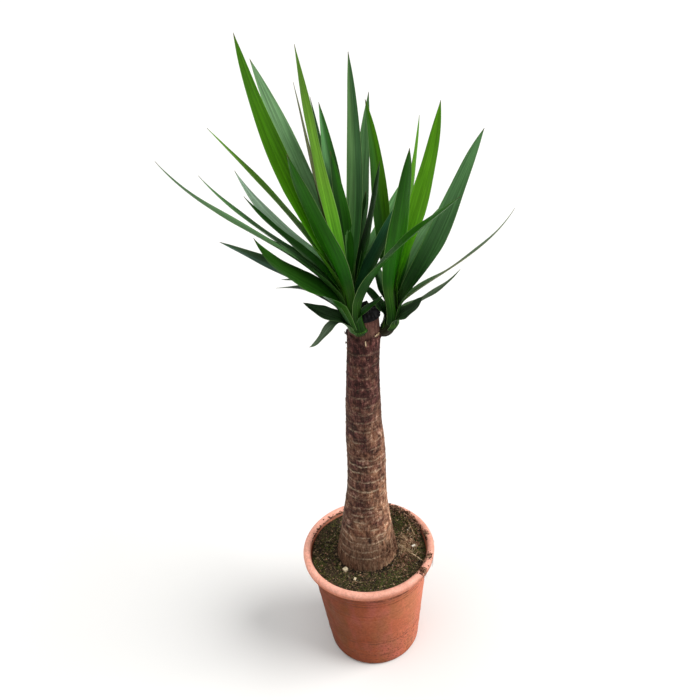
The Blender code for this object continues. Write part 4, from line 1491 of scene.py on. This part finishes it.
# Each row: height of the root in centimetres, width in millimetres, roll in degrees, how far back
# the tip lies, three places of the midline, the tones of the left and right half, and how bright
# the leaf is low down and high up, which is painted light and painted shade.
LEFT_LEAVES = (
    (83.5, 49, -6, 5.0, (-5.9, 96.9), (-10.4, 110.9), (-13.1, 124.8), "fresh", "fresh", 1.35, 0.85),
    (82.5, 46, 0, 13.0, (-3.6, 95.5), (-7.5, 109.0), (-11.3, 121.2), "pale", "pale", 2.00, 0.86),
    (84.0, 37, 20, 3.0, (-2.2, 97.0), (-3.7, 110.0), (-4.8, 122.7), "olive", "olive", 1.50, 0.72),
    (81.5, 38, 56, 9.0, (-2.7, 95.0), (-4.2, 106.0), (-5.5, 117.6), "brown", "brown", 1.00, 1.00),
    (82.0, 32, 55, 12.0, (-1.5, 93.5), (-2.3, 104.5), (-3.3, 115.4), "dark", "dark", 0.90, 1.00),
    (82.5, 37, 20, 9.0, (-0.7, 93.0), (-1.2, 103.5), (-2.1, 114.5), "misty", "dark", 0.45, 1.60),
    (83.0, 30, 20, 5.0, (0.2, 91.0), (-0.2, 99.0), (-1.0, 107.2), "dark", "deep", 0.60, 0.80),
    (84.0, 28, 0, 11.0, (1.8, 95.5), (2.7, 108.5), (2.7, 121.1), "sage", "misty", 0.85, 0.90),
    (82.0, 38, -25, 17.0, (2.4, 93.5), (3.9, 104.5), (5.3, 115.4), "steel", "steel", 1.00, 1.00),
    (82.0, 41, 14, 3.0, (-5.2, 92.3), (-11.8, 102.4), (-18.9, 112.1), "olive", "olive", 1.50, 1.60),
    (80.5, 35, 4, -5.0, (-8.2, 90.1), (-18.6, 98.2), (-27.5, 107.8), "pale", "sage", 0.80, 0.62),
    (81.0, 34, 14, 2.0, (-7.0, 89.6), (-14.7, 97.0), (-21.4, 105.1), "sage", "steel", 1.10, 1.10),
    (81.5, 34, 0, 8.0, (-5.4, 89.9), (-11.0, 96.8), (-15.8, 105.4), "silver", "silver", 0.90, 0.85),
    (80.5, 36, 8, 1.0, (-4.6, 88.3), (-10.0, 94.6), (-15.0, 101.3), "deep", "deep", 1.00, 1.10),
    (79.5, 47, 0, -1.0, (-6.4, 84.9), (-13.0, 89.7), (-19.9, 94.1), "slate", "ash", 0.90, 1.20),
    (79.0, 54, -20, -8.0, (-5.0, 83.9), (-10.7, 88.5), (-14.4, 94.3), "leek", "leek", 0.75, 0.80),
    (79.6, 46, 0, -11.0, (-2.2, 89.6), (-5.1, 98.3), (-7.6, 107.3), "deep", "deep", 0.95, 1.15),
    (79.0, 40, 14, 5.0, (-4.2, 84.3), (-7.7, 86.2), (-10.8, 86.7), "ash", "ash", 0.90, 0.90),
    (78.7, 34, 14, 8.0, (-4.3, 82.8), (-8.2, 84.8), (-11.9, 85.2), "ash", "ash", 0.90, 0.90),
    (78.5, 31, -22, -3.0, (-2.5, 78.8), (-5.1, 80.2), (-7.7, 82.1), "ash", "ash", 1.00, 1.00),
    (78.2, 21, -14, -5.0, (-2.5, 77.8), (-4.9, 75.5), (-7.5, 73.4), "grey", "grey", 1.00, 1.00),
    (78.6, 48, 15, -15.0, (5.2, 86.7), (11.7, 93.0), (18.8, 98.5), "deep", "deep", 0.50, 1.25),
    (78.0, 11, 70, -6.5, (2.0, 79.2), (3.9, 80.8), (5.7, 82.3), "soot", "dark", 1.20, 1.20),
    (82.5, 31, -20, 3.0, (2.7, 89.0), (4.9, 97.2), (6.4, 105.1), "dark", "deep", 0.70, 0.60),
    (80.0, 38, 0, 2.5, (3.3, 86.4), (6.8, 93.1), (9.6, 99.6), "blue", "dark", 1.00, 1.30),
    (80.5, 30, 0, 17.0, (3.5, 88.5), (6.7, 95.3), (9.6, 101.6), "steel", "steel", 1.00, 1.10),
    (83.5, 20, 0, 6.0, (1.6, 88.5), (2.9, 94.5), (4.0, 100.5), "dark", "dark", 0.70, 0.70),
    (80.0, 34, 0, 15.0, (-2.6, 85.5), (-4.6, 89.5), (-6.2, 92.5), "deep", "deep", 0.80, 0.80),
    (80.5, 34, 0, 16.0, (1.0, 86.0), (1.8, 90.0), (2.4, 93.0), "deep", "deep", 0.80, 0.80),
)
RIGHT_LEAVES = (
    (80.4, 43, 0, 8.0, (10.7, 92.5), (13.8, 103.0), (15.8, 113.4), "bright", "bright", 1.10, 0.72),
    (78.5, 45, 30, 1.0, (13.4, 88.2), (18.0, 98.5), (22.3, 108.8), "frost", "frost", 0.34, 1.15),
    (79.2, 43, 0, -5.0, (8.1, 88.3), (9.7, 97.5), (11.0, 106.7), "deep", "deep", 1.00, 0.80),
    (81.0, 34, -48, 13.0, (9.3, 92.0), (11.3, 101.5), (12.6, 111.5), "bright", "bright", 1.60, 1.00),
    (79.0, 24, -26, 7.0, (13.8, 84.1), (21.4, 89.1), (27.4, 95.8), "grey", "brown", 1.10, 1.20),
    (77.8, 24, -10, 2.0, (10.7, 80.0), (15.0, 82.4), (18.8, 86.0), "grey", "ash", 1.50, 1.70),
    (77.4, 29, 35, -3.0, (8.9, 78.2), (11.1, 79.7), (12.5, 81.4), "ash", "ash", 1.00, 1.00),
    (79.2, 24, 0, 4.0, (6.2, 82.5), (5.2, 86.0), (4.2, 89.5), "dark", "steel", 1.20, 1.20),
    (77.8, 27, 0, 3.0, (5.5, 79.7), (4.1, 82.3), (2.2, 84.7), "dark", "dark", 1.20, 1.20),
    (79.8, 34, 0, 13.0, (10.0, 86.5), (13.1, 92.5), (16.2, 97.5), "pale", "steel", 0.80, 0.80),
    (79.4, 34, 0, 15.0, (8.6, 87.0), (9.6, 92.0), (10.2, 97.0), "deep", "deep", 0.70, 0.70),
    (81.4, 30, 0, 11.5, (6.3, 93.0), (5.9, 103.5), (4.7, 114.4), "leek", "fresh", 0.50, 0.95),
)
print(len(LEFT_LEAVES), "leaves on the left shoot,", len(RIGHT_LEAVES), "on the right")

# %% [markdown]
# A photograph gives the height and the sideways place of each point of a leaf, but not its depth.
# So each place is first marked on an upright plane through the middle of the pot, and then moved
# along the line of sight to the depth that was chosen for it. A smooth curve through the root and
# the three places is the midline.

# %% Where a leaf runs
DEPTH_SHARES = (0.27, 0.62, 1.0)        # of the depth from root to tip, at the three places
BLADE_BASE = 0.06             # shares of the length: up to here the blade keeps its narrow neck,
BLADE_WIDEST = 0.34           # and here it is widest
BLADE_NECK = 0.50             # width of the neck, as a share of the widest
TIP_FULLNESS = 0.8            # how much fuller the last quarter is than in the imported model
FOLD_ROOT = 50.0              # how steep each half of the channel is, in degrees
FOLD_TIP = 13.0


def stem_at(stations, height):
    """Middle and radius of a stem at a height in centimetres."""
    for low, high in zip(stations, stations[1:]):
        if height <= high[2]:
            share = max((height - low[2]) / (high[2] - low[2]), 0.0)
            middle = Vector(low[:3]).lerp(Vector(high[:3]), share)
            return middle * CM, (low[3] + (high[3] - low[3]) * share) * CM
    return Vector(stations[-1][:3]) * CM, stations[-1][3] * CM


def sighted(place, depth):
    """The point on the line of sight through a place of the upright middle plane, at a depth."""
    flat = Vector((place[0], 0.0, place[1])) * CM
    return EYE + (flat - EYE) * (1.0 - depth / EYE.y)


def blade_places(stations, leaf):
    root, _ = stem_at(stations, leaf.root)
    behind = leaf.depth * CM - root.y
    return [root] + [sighted(place, root.y + behind * share)
                     for place, share in zip((leaf.third, leaf.two_thirds, leaf.tip), DEPTH_SHARES)]


def midline(places, t):
    """The smooth curve through root, a third, two thirds and tip."""
    point = Vector()
    for i, place in enumerate(places):
        weight = 1.0
        for j in range(4):
            if j != i:
                weight *= (3.0 * t - j) / (i - j)
        point += place * weight
    return point


def blade_share(t):
    """Width along the blade as a share of its widest."""
    if t < BLADE_WIDEST:
        s = max(t - BLADE_BASE, 0.0) / (BLADE_WIDEST - BLADE_BASE)
        return BLADE_NECK + (1 - BLADE_NECK) * math.sin(math.pi / 2 * s)
    s = (t - BLADE_WIDEST) / (1 - BLADE_WIDEST)
    return 1 - s ** 2.3 + TIP_FULLNESS * s ** 5 * (1 - s)


def blade_frame(places, leaf, t):
    """Point, sideways direction, upper face's direction and half width at a share t."""
    point = midline(places, t)
    along = (midline(places, t + 0.01) - midline(places, t - 0.01)).normalized()
    reach = places[3] - places[0]
    side = Vector((0, 0, 1)).cross(Vector((reach.x, reach.y, 0.0)).normalized())
    across = (side - along * side.dot(along)).normalized()
    roll = math.radians(leaf.roll) * min(1.0, 0.25 + t * 1.8)
    across = Matrix.Rotation(roll, 3, along) @ across
    half = max(leaf.width * MM / 2 * blade_share(t), 0.0004)
    return point, across, along.cross(across), half


print("a leaf is widest at", BLADE_WIDEST, "of its length")

# %% [markdown]
# The section is a shallow channel with a rounded bottom, not a sharp crease. Margins are thin, the
# middle is about a millimetre thick, and each leaf waves slightly in its own rhythm. Its foot
# wraps round the stem. Where a leaf comes close to the cane or the wax it is pushed clear, because
# real leaves give way too.

# %% Shape of one leaf
LEAF_ROWS = 56
LEAF_COLUMNS = 8              # across one face
BLADE_THICK = 0.0011          # in the middle of the blade, near its root
RIPPLE = 0.0011
SHEATH_LENGTH = 0.038         # how much of a leaf clasps the stem
SHEATH_DEPTH = 2.2            # how far below its root a leaf starts, in centimetres
SHEATH_REACH = 78.0           # how far round the stem each half of the foot reaches, in degrees
CHANNEL_ROUND = 0.02          # rounds the bottom of the channel
HEART = 84.0                  # where the innermost leaf starts, in centimetres
LAYER = 0.0005                # how much further out a leaf clasps for each centimetre below that
BARK_GAP = 0.0014             # how far a leaf keeps off the bark
WAX_GAP = 0.003               # and off the wax
LOWEST_LEAF = 0.70            # no leaf needs to be pushed clear below this height
WAX_FOOT = CANE_TOP + 0.006   # between these two heights a leaf has to clear the dome and its peak
WAX_TOP = SEAL_PEAK.z + 0.002


def clear_of_cane(point):
    """The point itself, or pushed outward where it would touch the cane or the wax."""
    if point.z > WAX_TOP or point.z < LOWEST_LEAF:
        return point
    centre, radius = cane_at(min(point.z, CANE_TOP))
    keep = radius + BARK_GAP
    if point.z > WAX_FOOT:
        share = (WAX_TOP - point.z) / (WAX_TOP - WAX_FOOT)
        centre += (SEAL_PEAK.x - centre) * (1 - share)
        keep = radius * share * 0.9 + WAX_GAP
    flat = Vector((point.x - centre, point.y, 0.0))
    if flat.length < keep:
        point = point + flat.normalized() * (keep - flat.length)
    return point


def half_thickness(t, s):
    """Zero at the margins, so that both faces meet there in one edge."""
    return BLADE_THICK / 2 * (1 - s ** 4) * (1 - 0.45 * t)


def blade_point(at, t, s, face_side, wave):
    """A point of the channel: s runs from -1 to 1 across it, on the upper or the lower face."""
    point, across, face, half = at
    fold = math.radians(FOLD_ROOT + (FOLD_TIP - FOLD_ROOT) * min(1.0, t * 2.2))
    flat = math.sqrt(CHANNEL_ROUND)
    lift = (math.sqrt(s * s + CHANNEL_ROUND) - flat) / (math.sqrt(1 + CHANNEL_ROUND) - flat)
    ripple = RIPPLE * math.sin(wave + t * 15.0) * s * abs(s) * math.sin(math.pi * t)
    rise = lift * half * math.sin(fold) + face_side * half_thickness(t, s) + ripple
    return point + across * s * half * math.cos(fold) + face * rise


def sheath_point(stations, leaf, reach, v, s, inset):
    """A point of the foot of a leaf, which clasps the stem. It runs from 0 to 1 up the foot."""
    low = max(leaf.root - SHEATH_DEPTH, stations[0][2] + 0.5)
    height = low + (leaf.root + 0.6 - low) * v
    middle, radius = stem_at(stations, height)
    radius = radius * 0.82 + 0.0006 + LAYER * (HEART - leaf.root) + 0.003 * v * v - inset
    rounded = 0.2 + 0.8 * math.sqrt(min(1.0, v / 0.18))
    turn = s * math.radians(SHEATH_REACH) * (1.0 - 0.25 * v) * rounded
    turn += math.atan2(reach.y, reach.x)
    return middle + outward(turn) * radius


def leaf_point(stations, leaf, places, t, s, face_side, wave):
    """The foot clasps the stem, and then the leaf leaves it in a smooth curve."""
    free = blade_point(blade_frame(places, leaf, t), t, s, face_side, wave)
    length = sum((b - a).length for a, b in zip(places, places[1:]))
    v = t / clamp(SHEATH_LENGTH / length, 0.10, 0.30)
    if v >= 1.0:
        return clear_of_cane(free)
    bound = sheath_point(stations, leaf, places[3] - places[0], v, s,
                         face_side * half_thickness(t, s))
    share = clamp((v - 0.25) / 0.75)
    return clear_of_cane(bound.lerp(free, share * share * (3 - 2 * share)))


print("a leaf clasps its stem over", SHEATH_LENGTH, "m")

# %% [markdown]
# The colour changes along a leaf: dark where it clasps the stem, bright just above that, shaded in
# the heart of the shoot, and dry and brown at the very point. The two halves may differ in tone,
# because one side of the channel often faces the light.

# %% Colour along a leaf
BRIGHT_FOOT = Vector((0.050, 0.140, 0.012))
CLASPING = Vector((0.007, 0.025, 0.002))
TORN_ROOT = Vector((0.050, 0.030, 0.015))
DRY_POINT = Vector((0.085, 0.050, 0.022))


def leaf_tone(leaf, t, on_left, draw_share):
    """Colour along a leaf: shaded in the heart of the shoot, dry and brown at the very point."""
    tone = Vector(TONES[leaf.tone if on_left else leaf.other_tone])
    heart = 0.65 + 0.35 * min(1.0, t / 0.34)
    far = clamp((t - 0.25) / 0.6)
    # the low and high factors paint light and shade onto each leaf
    heart *= leaf.low + (leaf.high - leaf.low) * far
    tone = tone * heart * (0.92 + 0.16 * draw_share)
    lush = 1.0 - clamp((t - 0.20) / 0.30)
    tone *= Vector((1 - 0.28 * lush, 1 + 0.04 * lush, 1 - 0.38 * lush))
    bright = math.exp(-((t - 0.120) / 0.050) ** 2)
    tone = tone.lerp(BRIGHT_FOOT, bright * 0.60 * min(1.0, leaf.low))
    clasp = clamp(1.3 - t / 0.075)
    tone = tone.lerp(CLASPING, clasp * 0.92)
    tone = tone.lerp(TORN_ROOT, max(0.0, 1.0 - t / 0.008) * 0.8)
    dry = clamp((t - 0.972) / 0.02)
    return tone.lerp(DRY_POINT, dry * 0.9)


print("tones of the leaves:", ", ".join(TONES))

# %% [markdown]
# One leaf is a flat grid that goes round the section once. The columns on one side of the grid
# become the upper face and the rest the lower face, and each point also gets its place across
# and along the blade, for the veins.

# %% One leaf
def leaf_mesh(stations, leaf, draw):
    places = blade_places(stations, leaf)
    wave, share = draw.uniform(0, math.tau), draw.random()
    shape = bmesh.new()
    bmesh.ops.create_grid(shape, x_segments=2 * LEAF_COLUMNS, y_segments=LEAF_ROWS, size=1.0)
    layer = shape.loops.layers.uv.new("blade")
    tone = shape.verts.layers.float_color.new("tone")
    plus_is_left = blade_frame(places, leaf, 0.5)[1].x < 0.0
    sides = {}
    for vert in shape.verts:
        round_share = (vert.co.x + 1) * LEAF_COLUMNS
        upper = round_share <= LEAF_COLUMNS
        s = round_share if upper else 2 * LEAF_COLUMNS - round_share
        s = 2.0 * s / LEAF_COLUMNS - 1.0
        t = max((vert.co.y + 1) / 2, 0.0) ** 1.4
        sides[vert] = ((s + 1) / 2, t)
        vert.co = leaf_point(stations, leaf, places, t, s, 1 if upper else -1, wave)
        colour = leaf_tone(leaf, t, (s > 0.0) == plus_is_left, share)
        if abs(s) < 0.3:
            other = leaf_tone(leaf, t, (s > 0.0) != plus_is_left, share)
            colour = colour.lerp(other, 0.5 - abs(s) / 0.6)
        vert[tone] = (*colour, 1.0)
    for face in shape.faces:
        for corner in face.loops:
            corner[layer].uv = sides[corner.vert]
    bmesh.ops.remove_doubles(shape, verts=shape.verts, dist=1e-6)
    bmesh.ops.holes_fill(shape, edges=[edge for edge in shape.edges if edge.is_boundary])
    bmesh.ops.recalc_face_normals(shape, faces=shape.faces)
    return as_mesh(shape)


print("a leaf has", LEAF_ROWS, "rows of", 2 * LEAF_COLUMNS, "faces")

# %% [markdown]
# Leaf green is a colour kept on each point, with fine parallel veins from a noise that is squeezed
# across the blade and stretched along it. A thin pale line follows both margins, and a waxy bloom
# softens the gloss in clouds.

# %% Leaf finish
def tinted(tree, base, factor, low, high):
    """A colour multiplied by one tint where a pattern is low and by another where it is high."""
    return blend(tree, 1.0, base, ramp(tree, factor, (low, high)), "MULTIPLY")


def along_blade(tree, blade, across, along):
    """A place on the blade, squeezed across it and stretched along it."""
    return add_node(tree, "Mapping", {"Vector": blade, "Scale": (across, along, 1.0)}).outputs[0]


def off_middle(tree, blade):
    """How far a place is from the middle of the blade, up to a half at the margins."""
    off = add_node(tree, "Math", {0: coordinate(tree, blade, 0), 1: 0.5},
                   operation="SUBTRACT").outputs[0]
    return add_node(tree, "Math", {0: off}, operation="ABSOLUTE").outputs[0]


def leaf_finish():
    made, tree, shader = new_finish("leaf_green", 0.36)
    place = object_place(tree)
    blade = add_node(tree, "UVMap", uv_map="blade").outputs[0]
    vein = cloud(tree, along_blade(tree, blade, 34.0, 1.6), 1.0, 3.0, 0.6)
    fine_vein = cloud(tree, along_blade(tree, blade, 110.0, 2.5), 1.0, 2.0, 0.5)
    base = add_node(tree, "Attribute", attribute_name="tone").outputs["Color"]
    base = tinted(tree, base, vein, (0.28, (0.70, 0.73, 0.68)), (0.72, (1.34, 1.28, 1.36)))
    band = add_node(tree, "VectorMath", {0: along_blade(tree, blade, 9.0, 1.1),
                                         1: object_place(tree, (6.0, 6.0, 6.0))},
                    operation="ADD").outputs[0]
    base = shaded(tree, base, spread(tree, cloud(tree, band, 1.0, 2.0), 0.34, 0.66, 0.72, 1.26))
    base = tinted(tree, base, fine_vein, (0.30, (0.86, 0.87, 0.86)), (0.70, (1.15, 1.13, 1.15)))
    base = tinted(tree, base, cloud(tree, place, 13.0, 3.0),
                  (0.30, (0.86, 0.90, 0.86)), (0.70, (1.14, 1.10, 1.14)))
    ribbed = shaded(tree, base, spread(tree, vein, 0.40, 0.60, 0.40, 1.70))
    at_foot = spread(tree, coordinate(tree, blade, 1), 0.15, 0.06, 0.0, 0.9)
    base = blend(tree, at_foot, base, ribbed)
    off = off_middle(tree, blade)
    base = shaded(tree, base, spread(tree, off, 0.004, 0.022, 1.30, 1.0))
    margin = product(tree, spread(tree, off, 0.472, 0.488), 0.60)
    coat(tree, shader, blend(tree, margin, base, (0.240, 0.380, 0.130)), 0.08)
    bloom = spread(tree, cloud(tree, place, 28.0, 4.0), 0.3, 0.7, 0.34, 0.52)
    tree.links.new(bloom, shader.inputs["Roughness"])
    bump(tree, shader, blend(tree, 0.45, vein, fine_vein), 0.0006, 0.55)
    return made


leaf_material = leaf_finish()


def grow_leaves(name, stations, leaves, seed, replaces):
    draw, bed = random.Random(seed), bmesh.new()
    for row in leaves:
        add_copy(bed, leaf_mesh(stations, Leaf(*row), draw), keep=False)
    return new_piece(name, bed, leaf_material, replaces, 60.0)


grow_leaves("left_leaves", LEFT_STEM, LEFT_LEAVES, 71, "crown_left")
grow_leaves("right_leaves", RIGHT_STEM, RIGHT_LEAVES, 72, "crown_right")

# %% [markdown]
# ## Chips of wood
# Three chips of pale wood lie on the soil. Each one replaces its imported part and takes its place
# from that part's box. It is a block with bevelled edges and uneven corners, so that no face is
# quite flat.

# %% Chips
CHIPS = (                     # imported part, size in millimetres, turn in degrees, colour
    ("wood_chip_cube", (9.0, 8.0, 6.5), 35, (0.66, 0.56, 0.38)),
    ("wood_chip_flake", (7.0, 4.5, 3.0), 70, (0.60, 0.50, 0.33)),
    ("wood_chip_splinter", (8.0, 4.0, 3.0), 30, (0.80, 0.76, 0.66)),
)
CHIP_SHRINK = 0.98            # keeps the uneven corners inside the size
CHIP_SUNK = 0.0008            # how deep a chip sits in the soil


def chip_finish(name, colour):
    made, tree, shader = new_finish(name, 0.8)
    grain = cloud(tree, object_place(tree, (1.0, 0.15, 1.0)), 700.0, 4.0, 0.7)
    dark = tuple(c * 0.62 for c in colour)
    light = tuple(min(c * 1.15, 0.95) for c in colour)
    tree.links.new(ramp(tree, grain, ((0.32, dark), (0.55, colour), (0.75, light))),
                   shader.inputs["Base Color"])
    bump(tree, shader, grain, 0.0004, 0.7)
    return made


def chip_shape(name, size, turned_by):
    low, high = (Vector(corner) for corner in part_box(name))
    shape = bmesh.new()
    bmesh.ops.create_cube(shape, size=1.0)
    bmesh.ops.bevel(shape, geom=shape.edges[:], offset=0.05, offset_type="OFFSET", segments=2,
                    profile=0.5, affect="EDGES", material=-1)
    bmesh.ops.subdivide_edges(shape, edges=shape.edges[:], cuts=1, use_grid_fill=True)
    for vert in shape.verts:
        rough = 1.0 + 0.07 * noise.noise(vert.co * 3.0 + Vector((turned_by, 0.0, 0.0)))
        vert.co = Vector([c * s * MM * CHIP_SHRINK * rough for c, s in zip(vert.co, size)])
    turn = Matrix.Rotation(math.radians(turned_by), 4, "Z")
    place = Matrix.Translation((low + high) / 2)
    bmesh.ops.transform(shape, matrix=place @ turn, verts=shape.verts)
    lowest = min(vert.co.z for vert in shape.verts)
    bmesh.ops.translate(shape, verts=shape.verts, vec=up(low.z - CHIP_SUNK - lowest))
    bmesh.ops.recalc_face_normals(shape, faces=shape.faces)
    return shape


for chip, chip_size, chip_turn, chip_colour in CHIPS:
    new_piece(chip + "_rough", chip_shape(chip, chip_size, chip_turn),
              chip_finish(chip, chip_colour), chip)

# %% [markdown]
# ## Floor and light
# A plain pale floor and soft studio light: a broad sun from the upper right, as in the photograph,
# a broader one from overhead that reaches the left side too, and an even surround for the shade.

# %% Floor and light
FLOOR_REACH = 70.0            # metres to each side
SURROUND_STRENGTH = 0.26

floor_shape = bmesh.new()
bmesh.ops.create_grid(floor_shape, x_segments=1, y_segments=1, size=FLOOR_REACH)
floor_mesh = as_mesh(floor_shape)
floor_finish, _, floor_shader = new_finish("studio_floor", 0.9)
floor_shader.inputs["Base Color"].default_value = (0.82, 0.82, 0.815, 1.0)
floor_shader.inputs["Specular IOR Level"].default_value = 0.1
floor_mesh.materials.append(floor_finish)
floor = bpy.data.objects.new("studio_floor", floor_mesh)
bpy.context.scene.collection.objects.link(floor)

surround = bpy.data.worlds.new("studio_surround")
surround.use_nodes = True
background = surround.node_tree.nodes["Background"]
background.inputs["Color"].default_value = (0.97, 0.985, 1.0, 1.0)
background.inputs["Strength"].default_value = SURROUND_STRENGTH
bpy.context.scene.world = surround

SUNS = (                      # name, strength, breadth in degrees, where it comes from
    ("key_sun", 3.0, 40, (1.0, -0.20, 0.98)),
    ("overhead_sun", 1.5, 70, (-0.35, -0.15, 1.20)),
)
for sun_name, strength, breadth, comes_from in SUNS:
    sun_data = bpy.data.lights.new(sun_name, "SUN")
    sun_data.energy = strength
    sun_data.angle = math.radians(breadth)
    sun_data.color = (1.0, 0.985, 0.96)
    sun = bpy.data.objects.new(sun_name, sun_data)
    sun.rotation_euler = Vector(comes_from).to_track_quat("Z", "Y").to_euler()
    bpy.context.scene.collection.objects.link(sun)
bpy.context.scene.view_settings.view_transform = "Standard"
print(len(SUNS), "soft suns")
